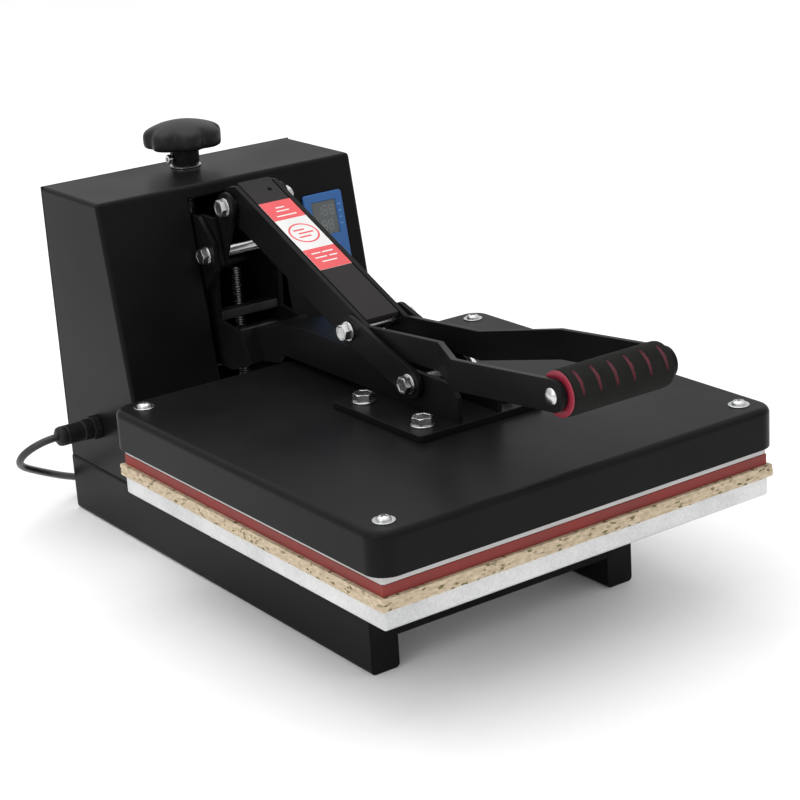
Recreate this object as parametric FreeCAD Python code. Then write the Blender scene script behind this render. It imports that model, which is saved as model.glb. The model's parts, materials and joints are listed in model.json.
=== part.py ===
"""Clamshell heat press, in millimetres: front (operator side) is -Y, rear is +Y, +X is the operator's right.

The origin is on the surface that the press stands on, under the middle of its width and depth.
The press is closed and locked: the upper platen lies on the lower one and the lever is down.
"""
import FreeCAD, Part
import math
import os

V = FreeCAD.Vector
X, Y, Z = V(1, 0, 0), V(0, 1, 0), V(0, 0, 1)

# ---------------------------------------------------------------- driving dimensions
DEPTH = 653.0                       # front of the grip to the rear screw heads
FRONT_Y, REAR_Y = -DEPTH / 2, DEPTH / 2

PLATEN = 380.0                      # nominal 15 inch square platen
PLATEN_Y = -86.5                    # its centre
PAD_T, BOARD_T, HOT_PLATE_T = 9.5, 9.9, 10.2
BOARD_OVERHANG = 3.6                # press board past the nominal platen, each side
TRAY_BASE_Z, TRAY_LIP, SHEET = 92.4, 16.5, 1.5
COVER_OVERHANG = 7.0                # cover past the nominal platen, each side
COVER_W = PLATEN + 2 * COVER_OVERHANG
COVER_H, COVER_R, COVER_EDGE_R = 31.0, 18.0, 6.0
COVER_LAP = 3.3                     # how far the cover's skirt reaches down over the plate's edge

RAIL_W, RAIL_H, RAIL_WALL, RAIL_R = 27.0, 56.0, 2.0, 4.0
HOUSING_W, HOUSING_H = 270.0, 316.0
HOUSING_FRONT_TOP_Y, HOUSING_FRONT_BASE_Y = 216.5, 170.5
HOUSING_T, HOUSING_R = 2.0, 4.0
RAIL_FRONT_Y = -171.5
REAR_COVER_BASE_Z = 70.0
SLOT_HALF, SLOT_TOP_Z = 44.0, 305.0

# Pivots, each (y, z); every pin runs along X.
MAIN_PIVOT = (194.5, 255.0)         # platen arm and pressure rocker
LEVER_PIVOT = (173.0, 301.0)        # lever in the rocker
LINK_TOP = (-10.5, 224.5)           # link plates on the lever
LINK_END = (-93.5, 197.5)           # link plates on the platen arm
KNOB_Y = 291.5
BOLT_R, BOLT_AF, BOLT_HEAD, WASHER_R, WASHER_T = 5.0, 16.0, 6.4, 10.0, 1.5
RUN_FIT = 0.05                      # radial clearance of every running pin
SIDE_GAP = 0.3                      # between plates that slide past each other

# Plates of the mechanism, each as |x| from its inner to its outer face.
NECK_X, PLATE_T = 17.5, 4.5
LINK_IN, LINK_T = 24.0, 4.5
ROCKER_IN, ROCKER_T = 26.0, 4.0
TOWER_IN, TOWER_T = 31.0, 4.5
UPRIGHT_IN, UPRIGHT_T = 36.8, 4.2
UPRIGHT_TOP_Z = 289.0
HUB_R = 13.0

NECK_TOP_Z = 206.5
LEVER_TOP = ((171.5, 321.0), (-20.0, 233.6))
LEVER_DEPTH, LEVER_TOP_T, LEVER_GROOVE = 27.0, 4.0, 1.1
LABEL_FROM_Y, LABEL_LEN, LABEL_T = 45.5, 102.5, 0.4

FORK_T, FORK_H, FORK_HALF = 5.0, 25.0, 53.0
FORK_FLARE_FROM_Y, FORK_FLARE_TO_Y = -128.5, -190.5
GRIP_R, GRIP_Z, GRIP_ROD_R = 18.0, 245.0, 6.0

KNOB_R, KNOB_LOBES, LOBE_R, KNOB_BASE_Z, KNOB_RIM_Z, KNOB_TOP_Z = 37.5, 7, 9.0, 331.0, 352.0, 360.0
KNOB_NECK_R, SCREW_R = 12.5, 6.0
TRUNNION_R, TRUNNION_PIN_R = 12.0, 6.0

BRACKET, BRACKET_T, BRACKET_Y = 124.0, 6.0, -90.0
BRACKET_BOLT_X, BRACKET_BOLT_Y = 44.0, 41.0
CORNER_SCREW_IN = 22.5              # from the cover's edge to a corner screw
CORNER_SCREW_AT = COVER_W / 2 - CORNER_SCREW_IN
CORNER_SCREW_R, CORNER_SCREW_H = 5.8, 3.6
CORNER_WASHER_R, CORNER_WASHER_T = 8.8, 0.9

PANEL_X, PANEL_W, PANEL_TOP_Z, PANEL_LEN, PANEL_T, PANEL_R = 95.5, 43.0, 285.0, 100.0, 2.6, 3.0
DISPLAY_W, DISPLAY_TOP_Z, DISPLAY_LEN = 26.5, 277.0, 31.5
BUTTON_R, BUTTON_DX, BUTTON_DROP, BUTTON_PITCH, BUTTON_TRAVEL = 4.5, 9.0, 17.0, 17.0, 1.0
BUTTON_CLEAR = 0.35

CORD_R = 3.5
GLAND_Y, GLAND_Z = 260.5, 99.0
COIL_INNER_R, COIL_OUTER_R, COIL_H = 31.0, 46.5, 15.0
COIL_X, COIL_Y = 10.0, 425.0

PLATEN_BOTTOM_Z = TRAY_BASE_Z + TRAY_LIP + BOARD_T + PAD_T
COVER_BASE_Z = PLATEN_BOTTOM_Z + HOT_PLATE_T
COVER_TOP_Z = COVER_BASE_Z + COVER_H
BRACKET_TOP_Z = COVER_TOP_Z + BRACKET_T
HALF_W = HOUSING_W / 2
SLANT = math.atan2(HOUSING_FRONT_TOP_Y - HOUSING_FRONT_BASE_Y, HOUSING_H - RAIL_H)
GRIP_Y = FRONT_Y + GRIP_R
BASE_PLATE_Z, BASE_PLATE_T = 8.0, 3.0
FLOOR_IN_HOUSING = BASE_PLATE_Z + BASE_PLATE_T
SIDES = (("left", -1), ("right", 1))


# ---------------------------------------------------------------- helpers
def save(name, *solids):
    """Write one sub-part, of one or more separate solids, to its STEP file."""
    flat = [piece for solid in solids for piece in solid.Solids]
    shape = flat[0] if len(flat) == 1 else Part.makeCompound(flat)
    shape.exportStep(f"parts/{name}.step")


def box(x0, x1, y0, y1, z0, z1):
    return Part.makeBox(x1 - x0, y1 - y0, z1 - z0, V(x0, y0, z0))


def centred(width, depth, height, x, y, z):
    """A block centred on x and y that stands on z."""
    return box(x - width / 2, x + width / 2, y - depth / 2, y + depth / 2, z, z + height)


def rod(start, end, radius):
    start, end = V(*start), V(*end)
    return Part.makeCylinder(radius, (end - start).Length, start, end - start)


def pin(pivot, x0, x1, radius):
    """A round pin along X at a pivot's (y, z)."""
    return rod((x0, pivot[0], pivot[1]), (x1, pivot[0], pivot[1]), radius)


def both(make):
    """The same piece on the left and on the right."""
    return [make(side) for _, side in SIDES]


def slab(side, inner, thickness):
    """The two x faces, low then high, of a plate on one side."""
    near, far = side * inner, side * (inner + thickness)
    return min(near, far), max(near, far)


def plate_x(outline, x0, x1):
    """A plate between two x values with an outline of (y, z) points."""
    points = [V(x0, y, z) for y, z in outline]
    return Part.Face(Part.makePolygon(points + points[:1])).extrude(V(x1 - x0, 0, 0))


def plate_z(outline, z0, z1):
    """A plate between two heights with an outline of (x, y) points."""
    points = [V(x, y, z0) for x, y in outline]
    return Part.Face(Part.makePolygon(points + points[:1])).extrude(V(0, 0, z1 - z0))


def hexagon(x0, x1, pivot, across_flats):
    """A hex head or nut along X."""
    radius = across_flats / math.sqrt(3)
    corners = [(pivot[0] + radius * math.cos(math.pi / 3 * k + math.pi / 6),
                pivot[1] + radius * math.sin(math.pi / 3 * k + math.pi / 6)) for k in range(6)]
    return plate_x(corners, min(x0, x1), max(x0, x1))


def hex_upright(x, y, z0, z1, across_flats):
    radius = across_flats / math.sqrt(3)
    corners = [(x + radius * math.cos(math.pi / 3 * k), y + radius * math.sin(math.pi / 3 * k))
               for k in range(6)]
    return plate_z(corners, z0, z1)


def dome(centre, axis, radius, height, foot=0.5):
    """A button head on the face at centre: a short cylinder, foot high, with a rounded crown."""
    rise = height - foot
    cap_r = (radius ** 2 + rise ** 2) / (2 * rise)
    half_turn = math.asin(min(1.0, radius / cap_r)) / 2
    middle = V(cap_r * math.sin(half_turn), 0, height - cap_r + cap_r * math.cos(half_turn))
    profile = [Part.LineSegment(V(0, 0, 0), V(radius, 0, 0)).toShape(),
               Part.LineSegment(V(radius, 0, 0), V(radius, 0, foot)).toShape(),
               Part.Arc(V(radius, 0, foot), middle, V(0, 0, height)).toShape(),
               Part.LineSegment(V(0, 0, height), V(0, 0, 0)).toShape()]
    head = Part.Face(Part.Wire(profile)).revolve(V(0, 0, 0), Z, 360)
    head.Placement = FreeCAD.Placement(V(*centre), FreeCAD.Rotation(Z, V(axis)))
    return head


def round_edges(shape, radius, keep):
    """Fillet the edges for which keep(edge) is true."""
    return shape.makeFillet(radius, [edge for edge in shape.Edges if keep(edge)])


def along(edge, direction):
    tangent = edge.Vertexes[-1].Point - edge.Vertexes[0].Point
    return tangent.Length > 1e-6 and abs(abs(tangent.normalize().dot(direction)) - 1) < 1e-6


def capsule(start, end, radius, x0, x1):
    """A plate with round ends between two pivots."""
    dy, dz = end[0] - start[0], end[1] - start[1]
    length = math.hypot(dy, dz)
    ny, nz = -dz / length * radius, dy / length * radius
    web = plate_x([(start[0] + ny, start[1] + nz), (end[0] + ny, end[1] + nz),
                   (end[0] - ny, end[1] - nz), (start[0] - ny, start[1] - nz)], x0, x1)
    return web.fuse([pin(start, x0, x1, radius), pin(end, x0, x1, radius)]).removeSplitter()


def bolt_through(pivot, half_span, shank_r=BOLT_R):
    """A hex bolt along X with its head on the left and its nut on the right."""
    head_at = half_span + WASHER_T
    shank = pin(pivot, -head_at, head_at + BOLT_HEAD + 2, shank_r)
    pieces = [hexagon(-head_at - BOLT_HEAD, -head_at, pivot, BOLT_AF),
              hexagon(head_at, head_at + BOLT_HEAD, pivot, BOLT_AF)]
    pieces += [pin(pivot, side * half_span, side * head_at, WASHER_R) for _, side in SIDES]
    return shank.fuse(pieces).removeSplitter()


def spacer(pivot, side, inner, outer, bore_r, radius=WASHER_R):
    low, high = sorted((side * inner, side * outer))
    return pin(pivot, low, high, radius).cut(pin(pivot, low, high, bore_r))


def on_front(shape):
    """Move a shape from the front panel's own frame to the slanted front of the housing.

    In that frame X is the press's X, Z runs up the slope from the rails and -Y points out of the face.
    """
    shape = shape.copy()
    shape.rotate(V(0, 0, 0), X, -math.degrees(SLANT))
    shape.translate(V(0, HOUSING_FRONT_BASE_Y, RAIL_H))
    return shape


def up_slope(z):
    """Distance up the slanted front at a height."""
    return (z - RAIL_H) / math.cos(SLANT)


# ---------------------------------------------------------------- base and frame
def base_rail(side):
    x0, x1 = slab(side, HALF_W - RAIL_W, RAIL_W)
    rear = REAR_Y - 2
    outer = round_edges(box(x0, x1, RAIL_FRONT_Y, rear, 0, RAIL_H), RAIL_R, lambda edge: along(edge, Y))
    return outer.cut(box(x0 + RAIL_WALL, x1 - RAIL_WALL, RAIL_FRONT_Y + RAIL_WALL, rear,
                         RAIL_WALL, RAIL_H - RAIL_WALL))


def base_front_cross_member():
    half, thick, drop = HALF_W - RAIL_W, 2.0, 28.0
    front = box(-half, half, RAIL_FRONT_Y, RAIL_FRONT_Y + thick, RAIL_H - drop, RAIL_H)
    top = box(-half, half, RAIL_FRONT_Y, RAIL_FRONT_Y + drop, RAIL_H - thick, RAIL_H)
    return front.fuse(top).removeSplitter()


def base_plate():
    half = HALF_W - RAIL_W
    return box(-half, half, HOUSING_FRONT_BASE_Y, REAR_Y - 4, BASE_PLATE_Z, FLOOR_IN_HOUSING)


def upright(side):
    x0, x1 = slab(side, UPRIGHT_IN, UPRIGHT_T)
    y, z = MAIN_PIVOT
    rear = KNOB_Y + 20
    outline = [(y - HUB_R, z + HUB_R), (y + 10, UPRIGHT_TOP_Z), (rear, UPRIGHT_TOP_Z),
               (rear, FLOOR_IN_HOUSING), (y + 12, FLOOR_IN_HOUSING), (y + 12, z - 40), (y - HUB_R, z - HUB_R)]
    web = plate_x(outline, x0, x1).cut(pin(MAIN_PIVOT, x0, x1, BOLT_R))
    foot0, foot1 = slab(side, UPRIGHT_IN, 20.0)
    foot = box(foot0, foot1, y + 12, rear, FLOOR_IN_HOUSING, FLOOR_IN_HOUSING + UPRIGHT_T)
    return web.fuse(foot).removeSplitter()


def upright_tie_bars():
    """The spring anchor at the foot and a tie at the rear, across both uprights."""
    anchor = rod((-UPRIGHT_IN, SPRING_Y, ANCHOR_Z), (UPRIGHT_IN, SPRING_Y, ANCHOR_Z), 4.0)
    tie = rod((-UPRIGHT_IN, KNOB_Y + 8, 120), (UPRIGHT_IN, KNOB_Y + 8, 120), 7.0)
    return [anchor, tie]


def screw_bearing_block():
    half = UPRIGHT_IN + UPRIGHT_T
    block = box(-half, half, KNOB_Y - 20, KNOB_Y + 20, UPRIGHT_TOP_Z, UPRIGHT_TOP_Z + 10)
    return block.cut(rod((0, KNOB_Y, UPRIGHT_TOP_Z - 1), (0, KNOB_Y, UPRIGHT_TOP_Z + 11), SCREW_R + RUN_FIT))


# ---------------------------------------------------------------- housing
def housing_outline(skin):
    """Side view of the housing, set in by a skin thickness at the front and the top."""
    front = skin / math.cos(SLANT)
    slope = math.tan(SLANT)
    rear = REAR_Y - 3.8
    low, top = RAIL_H, HOUSING_H - skin
    return [(HOUSING_FRONT_BASE_Y + front, low), (HOUSING_FRONT_BASE_Y + front + (top - low) * slope, top),
            (rear, top), (rear, low)]


def housing_shell():
    solid = plate_x(housing_outline(0), -HALF_W, HALF_W)
    solid = round_edges(solid, HOUSING_R, lambda edge: edge.BoundBox.YMin < REAR_Y - 10
                        and edge.BoundBox.ZMax > RAIL_H + 1)
    inside = plate_x(housing_outline(HOUSING_T), -HALF_W + HOUSING_T, HALF_W - HOUSING_T)
    slot = box(-SLOT_HALF, SLOT_HALF, FRONT_Y, HOUSING_FRONT_TOP_Y + 5, RAIL_H - 1, SLOT_TOP_Z)
    screw_hole = rod((0, KNOB_Y, HOUSING_H - 10), (0, KNOB_Y, HOUSING_H + 10), SCREW_R + 3)
    window = on_front(box(PANEL_X - PANEL_W / 2 + 4, PANEL_X + PANEL_W / 2 - 4, -5, HOUSING_T + 5,
                          up_slope(PANEL_TOP_Z) - PANEL_LEN + 4, up_slope(PANEL_TOP_Z) - 4))
    gland_hole = rod((-HALF_W - 5, GLAND_Y, GLAND_Z), (-HALF_W + 5, GLAND_Y, GLAND_Z), GLAND_THREAD_R)
    switch_hole = box(HALF_W - 5, HALF_W + 5, *switch_y(SWITCH_BODY_W), *switch_z(SWITCH_BODY_H))
    return solid.cut([inside, slot, screw_hole, window, gland_hole, switch_hole])


def housing_rear_cover():
    return box(-HALF_W, HALF_W, REAR_Y - 3.8, REAR_Y - 1.8, REAR_COVER_BASE_Z, HOUSING_H)


def housing_screws():
    heights = (REAR_COVER_BASE_Z + 12, (REAR_COVER_BASE_Z + HOUSING_H) / 2, HOUSING_H - 12)
    return [dome((side * (HALF_W - 9), REAR_Y - 1.8, z), Y, 4.0, 1.8) for _, side in SIDES for z in heights]


# ---------------------------------------------------------------- lower platen
def lower_tray():
    half = PLATEN / 2 + 0.8
    outer = centred(2 * half, 2 * half, TRAY_LIP, 0, PLATEN_Y, TRAY_BASE_Z)
    outer = round_edges(outer, 2.5, lambda edge: along(edge, Z) or edge.BoundBox.ZMax < TRAY_BASE_Z + 0.1)
    inside = centred(2 * half - 2 * SHEET, 2 * half - 2 * SHEET, TRAY_LIP, 0, PLATEN_Y, TRAY_BASE_Z + SHEET)
    holes = [rod((x, y, TRAY_BASE_Z - 1), (x, y, TRAY_BASE_Z + 5), 3.0) for x, y in board_screw_places()]
    return outer.cut([inside] + holes)


def board_screw_places():
    reach = PLATEN / 2 - 12
    return [(sx * reach, PLATEN_Y + sy * 66) for sx in (-1, 1) for sy in (-1, 1)]


def board_screws():
    """Screws up through the tray into the press board, with domed nuts below."""
    top = TRAY_BASE_Z + TRAY_LIP + 6
    return [rod((x, y, TRAY_BASE_Z), (x, y, top), 3.0).fuse(
        dome((x, y, TRAY_BASE_Z), -Z, 6.0, 8.0, 3.0)) for x, y in board_screw_places()]


def press_board():
    size = PLATEN + 2 * BOARD_OVERHANG
    board = centred(size, size, BOARD_T, 0, PLATEN_Y, TRAY_BASE_Z + TRAY_LIP)
    holes = [rod((x, y, TRAY_BASE_Z), (x, y, TRAY_BASE_Z + TRAY_LIP + 6), 3.0)
             for x, y in board_screw_places()]
    return board.cut(holes)


def silicone_pad():
    pad = centred(PLATEN, PLATEN, PAD_T, 0, PLATEN_Y, TRAY_BASE_Z + TRAY_LIP + BOARD_T)
    return round_edges(pad, 2.0, lambda edge: along(edge, Z))


def tray_standoffs():
    places = [(side * (HALF_W - RAIL_W / 2), PLATEN_Y + dy) for _, side in SIDES for dy in (-60, 120)]
    return [rod((x, y, RAIL_H), (x, y, TRAY_BASE_Z), 8.0) for x, y in places]


# ---------------------------------------------------------------- upper platen
def heating_plate():
    plate = centred(PLATEN, PLATEN, HOT_PLATE_T, 0, PLATEN_Y, PLATEN_BOTTOM_Z)
    plate = round_edges(plate, 3.0, lambda edge: along(edge, Z))
    return plate.cut(heating_element(0.0))


def heating_element(depth=0.0):
    """A tubular element cast into the plate's upper half: three hairpins joined in one loop."""
    reach, pitch, radius = 140.0, 56.0, 3.6
    z = COVER_BASE_Z - radius
    runs = []
    for k in range(5):
        x = (k - 2) * pitch
        runs.append(rod((x, PLATEN_Y - reach, z), (x, PLATEN_Y + reach, z), radius))
    for k in range(4):
        x, y = (k - 1.5) * pitch, PLATEN_Y + (reach if k % 2 else -reach)
        runs.append(rod((x - pitch / 2, y, z), (x + pitch / 2, y, z), radius))
        runs += [Part.makeSphere(radius, V(x + s * pitch / 2, y, z)) for s in (-1, 1)]
    return runs[0].fuse(runs[1:])


def insulation_mat():
    size = COVER_W - 24
    mat = centred(size, size, 12, 0, PLATEN_Y, COVER_BASE_Z)
    holes = [rod((x, y, COVER_BASE_Z), (x, y, COVER_TOP_Z), 8.0) for x, y in bracket_bolt_places()]
    corners = [rod((x, y, COVER_BASE_Z), (x, y, COVER_TOP_Z), 6.0) for x, y in corner_places()]
    return mat.cut(holes + corners)


def platen_cover():
    skirt_z = COVER_BASE_Z - COVER_LAP
    outer = centred(COVER_W, COVER_W, COVER_TOP_Z - skirt_z, 0, PLATEN_Y, skirt_z)
    outer = round_edges(outer, COVER_R, lambda edge: along(edge, Z))
    outer = round_edges(outer, COVER_EDGE_R, lambda edge: edge.BoundBox.ZMin > COVER_TOP_Z - 0.1)
    inside = centred(COVER_W - 2 * SHEET, COVER_W - 2 * SHEET, COVER_TOP_Z - skirt_z - SHEET, 0, PLATEN_Y, skirt_z)
    inside = round_edges(inside, COVER_R - SHEET, lambda edge: along(edge, Z))
    inside = round_edges(inside, COVER_EDGE_R - SHEET, lambda edge: edge.BoundBox.ZMin > COVER_TOP_Z - 2)
    holes = [rod((x, y, COVER_TOP_Z - 5), (x, y, COVER_TOP_Z + 5), 3.0) for x, y in corner_places()]
    holes += [rod((x, y, COVER_TOP_Z - 5), (x, y, COVER_TOP_Z + 5), BOLT_R) for x, y in bracket_bolt_places()]
    return outer.cut([inside] + holes)


def corner_places():
    return [(sx * CORNER_SCREW_AT, PLATEN_Y + sy * CORNER_SCREW_AT) for sx in (-1, 1) for sy in (-1, 1)]


def cover_screws():
    seat = COVER_TOP_Z + CORNER_WASHER_T
    return [dome((x, y, seat), Z, CORNER_SCREW_R, CORNER_SCREW_H, 1.0).fuse([
        rod((x, y, COVER_BASE_Z), (x, y, seat + 1), 3.0),
        rod((x, y, COVER_TOP_Z), (x, y, seat), CORNER_WASHER_R)]) for x, y in corner_places()]


def bracket_bolt_places():
    return [(sx * BRACKET_BOLT_X, BRACKET_Y + sy * BRACKET_BOLT_Y) for sx in (-1, 1) for sy in (-1, 1)]


def bracket_plate():
    plate = centred(BRACKET, BRACKET, BRACKET_T, 0, BRACKET_Y, COVER_TOP_Z)
    plate = round_edges(plate, 4.0, lambda edge: along(edge, Z))
    return plate.cut([rod((x, y, COVER_TOP_Z), (x, y, BRACKET_TOP_Z), BOLT_R)
                      for x, y in bracket_bolt_places()])


def bracket_bolts():
    bolts = []
    for x, y in bracket_bolt_places():
        shank = rod((x, y, COVER_BASE_Z), (x, y, BRACKET_TOP_Z + WASHER_T), BOLT_R)
        washer = rod((x, y, BRACKET_TOP_Z), (x, y, BRACKET_TOP_Z + WASHER_T), WASHER_R)
        head = hex_upright(x, y, BRACKET_TOP_Z + WASHER_T, BRACKET_TOP_Z + WASHER_T + BOLT_HEAD, BOLT_AF)
        head = head.common(dome((x, y, BRACKET_TOP_Z), Z, BOLT_AF / math.sqrt(3), WASHER_T + BOLT_HEAD, 6.0))
        bolts.append(shank.fuse([washer, head]).removeSplitter())
    return bolts


CROSS_PLATE = [(141.5, 163.0), (145.5, 161.0), (159.5, 189.0), (155.5, 191.0)]


def arm_side(side):
    """One side of the gooseneck: the neck over the platen and the tower that hangs from the main pivot."""
    x0, x1 = slab(side, NECK_X, PLATE_T)
    front = BRACKET_Y - BRACKET / 2 + 3
    neck = plate_x([(front, BRACKET_TOP_Z), (front, NECK_TOP_Z - 10), (front + 8, NECK_TOP_Z),
                    (76, NECK_TOP_Z), (98, NECK_TOP_Z - 2.5), (118, NECK_TOP_Z - 7), (138, NECK_TOP_Z - 13),
                    CROSS_PLATE[3], CROSS_PLATE[0], (118, 166), (110, BRACKET_TOP_Z)], x0, x1)
    neck = neck.cut(pin(LINK_END, x0, x1, BOLT_R))
    t0, t1 = slab(side, TOWER_IN, TOWER_T)
    y, z = MAIN_PIVOT
    tower = plate_x([CROSS_PLATE[1], CROSS_PLATE[2], (y, z - 62), (y - 2, z - 20), (y - HUB_R, z - 8),
                     (y - HUB_R, z + 10), (y - 6, z + 34), (y + 18, z + 34), (SPRING_Y + 10, TAIL_Z + 10),
                     (SPRING_Y + 10, TAIL_Z - 8), (SPRING_Y - 8, TAIL_Z - 8), (y + 28, z - 55),
                     (y + 22, z - 105), (y - 20, z - 105)], t0, t1)
    return neck, tower.cut([pin(MAIN_PIVOT, t0, t1, BOLT_R + RUN_FIT), pin((SPRING_Y, TAIL_Z), t0, t1, 4.0)])


def arm_cross_plates():
    """The slanted plate that joins the neck to the tower, and the web along the neck's top."""
    half = TOWER_IN + TOWER_T
    slanted = plate_x(CROSS_PLATE, -half, half)
    top, under = NECK_TOP_Z, NECK_TOP_Z - 4
    web = plate_x([(-20, top), (76, top), (98, top - 2.5), (118, top - 7), (138, top - 13), CROSS_PLATE[3],
                   (153.7, 187.4), (137, under - 13), (117, under - 7), (97, under - 2.5), (75, under),
                   (-20, under)], -NECK_X, NECK_X)
    return [slanted, web]


def arm_cross_bars():
    """Bars across the arm: two in the tower, the spring bar and the pin for the links."""
    y, z = MAIN_PIVOT
    flat = box(-TOWER_IN, TOWER_IN, y + 2, y + 14, z - 64, z - 56)
    lower = pin((y + 8, z - 84), -TOWER_IN, TOWER_IN, 8.0)
    spring_bar = pin((SPRING_Y, TAIL_Z), -TOWER_IN - TOWER_T, TOWER_IN + TOWER_T, 4.0)
    link_pin = pin(LINK_END, -NECK_X - PLATE_T, NECK_X + PLATE_T, BOLT_R)
    return [flat, lower, spring_bar, link_pin]


# ---------------------------------------------------------------- lift springs
SPRING_Y, ANCHOR_Z, TAIL_Z, SPRING_X, SPRING_R, SPRING_WIRE = 248.5, 22.0, 228.0, 19.0, 5.5, 1.5


def lift_springs():
    def spring(side):
        ends = ((side * SPRING_X, SPRING_Y, ANCHOR_Z + 4), (side * SPRING_X, SPRING_Y, TAIL_Z - 4))
        return rod(*ends, SPRING_R).cut(rod(*ends, SPRING_R - SPRING_WIRE))
    return both(spring)


# ---------------------------------------------------------------- lever, fork and grip
def lever_line(y):
    """Height of the lever's top face at a depth."""
    (y0, z0), (y1, z1) = LEVER_TOP
    return z1 + (y - y1) * (z0 - z1) / (y0 - y1)


FORK_JOINT_Y = LINK_TOP[0] - 16


def lever_side(side):
    x0, x1 = slab(side, NECK_X, PLATE_T)
    y, z = LEVER_PIVOT
    front_y = FORK_JOINT_Y
    outline = [(y, z + 17), (LEVER_TOP[0][0] - 4, lever_line(LEVER_TOP[0][0] - 4)),
               (front_y, lever_line(front_y)), (front_y, FORK_BOTTOM_Z), (10, FORK_BOTTOM_Z + 2),
               (y - 20, z - 24), (y, z - 17)]
    web = plate_x(outline, x0, x1).fuse(pin(LEVER_PIVOT, x0, x1, 17)).removeSplitter()
    return web.cut([pin(LEVER_PIVOT, x0, x1, BOLT_R + RUN_FIT), pin(LINK_TOP, x0, x1, BOLT_R)])


def lever_top_plate():
    half = NECK_X - LEVER_GROOVE
    (y0, _), (y1, _) = LEVER_TOP
    fall = LEVER_TOP_T
    plate = plate_x([(y0, lever_line(y0)), (y1, lever_line(y1)), (y1, lever_line(y1) - fall),
                     (y0, lever_line(y0) - fall)], -half, half)
    ribs = [plate_x([(y0 - 30, lever_line(y0 - 30) - fall), (y1 + 30, lever_line(y1 + 30) - fall),
                     (y1 + 30, lever_line(y1 + 30) - fall - 3), (y0 - 30, lever_line(y0 - 30) - fall - 3)],
                    *slab(side, NECK_X - 6, 6)) for _, side in SIDES]
    hole_y = y0 - 16
    hole = rod((7, hole_y, lever_line(hole_y) - 8), (7, hole_y, lever_line(hole_y) + 5), 2.0)
    return plate.fuse(ribs).cut(hole).removeSplitter()


def lever_label():
    slope = math.atan2(LEVER_TOP[0][1] - LEVER_TOP[1][1], LEVER_TOP[0][0] - LEVER_TOP[1][0])
    half = NECK_X - LEVER_GROOVE
    label = box(-half, half, 0, LABEL_LEN, 0, LABEL_T)
    label = round_edges(label, 2.0, lambda edge: along(edge, Z))
    label.rotate(V(0, 0, 0), X, math.degrees(slope))
    label.translate(V(0, LABEL_FROM_Y, lever_line(LABEL_FROM_Y)))
    return label


FORK_BOTTOM_Z = 211.5


def fork_bar(side):
    """A flat bar on edge: straight from the lever, flared out, then straight again to the grip."""
    near, far = NECK_X, FORK_HALF - FORK_T / 2
    flare = math.atan2(far - near, FORK_FLARE_FROM_Y - FORK_FLARE_TO_Y)
    mitre = FORK_T * math.tan(flare / 2)
    inside = [(near, FORK_JOINT_Y), (near, FORK_FLARE_FROM_Y), (far, FORK_FLARE_TO_Y), (far, GRIP_Y - 20)]
    outside = [(near + FORK_T, FORK_JOINT_Y), (near + FORK_T, FORK_FLARE_FROM_Y + mitre),
               (far + FORK_T, FORK_FLARE_TO_Y + mitre), (far + FORK_T, GRIP_Y - 20)]
    plan = [(side * x, y) for x, y in inside + outside[::-1]]
    strip = plate_z(plan, FORK_BOTTOM_Z - 20, NECK_TOP_Z + 80)
    top0, end_r = lever_line(FORK_JOINT_Y), FORK_H / 2
    profile = plate_x([(FORK_JOINT_Y, FORK_BOTTOM_Z), (FORK_JOINT_Y, top0), (FORK_FLARE_FROM_Y, top0 + 8),
                       (FORK_FLARE_TO_Y, 246), (GRIP_Y, GRIP_Z + end_r), (GRIP_Y, GRIP_Z - end_r),
                       (FORK_FLARE_TO_Y, 246 - FORK_H), (FORK_FLARE_FROM_Y, FORK_BOTTOM_Z + 2.5)], -80, 80)
    profile = profile.fuse(pin((GRIP_Y, GRIP_Z), -80, 80, end_r)).removeSplitter()
    return strip.common(profile).cut(pin((GRIP_Y, GRIP_Z), -80, 80, 3.0))


def grip_rod():
    inner = FORK_HALF - FORK_T / 2
    centre = (GRIP_Y, GRIP_Z)
    tube = pin(centre, -inner, inner, GRIP_ROD_R)
    screws = [pin(centre, *slab(side, inner, FORK_T), 3.0).fuse(
        dome((side * (inner + FORK_T), *centre), X * side, 6.5, 3.5, 0.8)) for _, side in SIDES]
    return tube.fuse(screws).removeSplitter()


def foam_grip():
    half = FORK_HALF - FORK_T / 2 - 1.0
    centre = (GRIP_Y, GRIP_Z)
    foam = round_edges(pin(centre, -half, half, GRIP_R), 3.0, lambda edge: True)
    return foam.cut(pin(centre, -half, half, GRIP_ROD_R))


# ---------------------------------------------------------------- pivots and links
def rocker_plate(side):
    x0, x1 = slab(side, ROCKER_IN, ROCKER_T)
    trunnion = (KNOB_Y, MAIN_PIVOT[1])
    front = capsule(LEVER_PIVOT, MAIN_PIVOT, HUB_R, x0, x1)
    rear = capsule(MAIN_PIVOT, trunnion, HUB_R, x0, x1)
    holes = [pin(LEVER_PIVOT, x0, x1, BOLT_R), pin(MAIN_PIVOT, x0, x1, BOLT_R + RUN_FIT),
             pin(trunnion, x0, x1, TRUNNION_PIN_R + RUN_FIT)]
    return front.fuse(rear).removeSplitter().cut(holes)


def main_bolt():
    """The bolt through both uprights that carries the arm and the rocker, with its washers."""
    return bolt_through(MAIN_PIVOT, UPRIGHT_IN + UPRIGHT_T)


def lever_pivot_bolt():
    bolt = bolt_through(LEVER_PIVOT, ROCKER_IN + ROCKER_T)
    inner = NECK_X + PLATE_T + SIDE_GAP
    spacers = [spacer(LEVER_PIVOT, side, inner, ROCKER_IN, BOLT_R) for _, side in SIDES]
    return bolt.fuse(spacers).removeSplitter()


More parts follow.
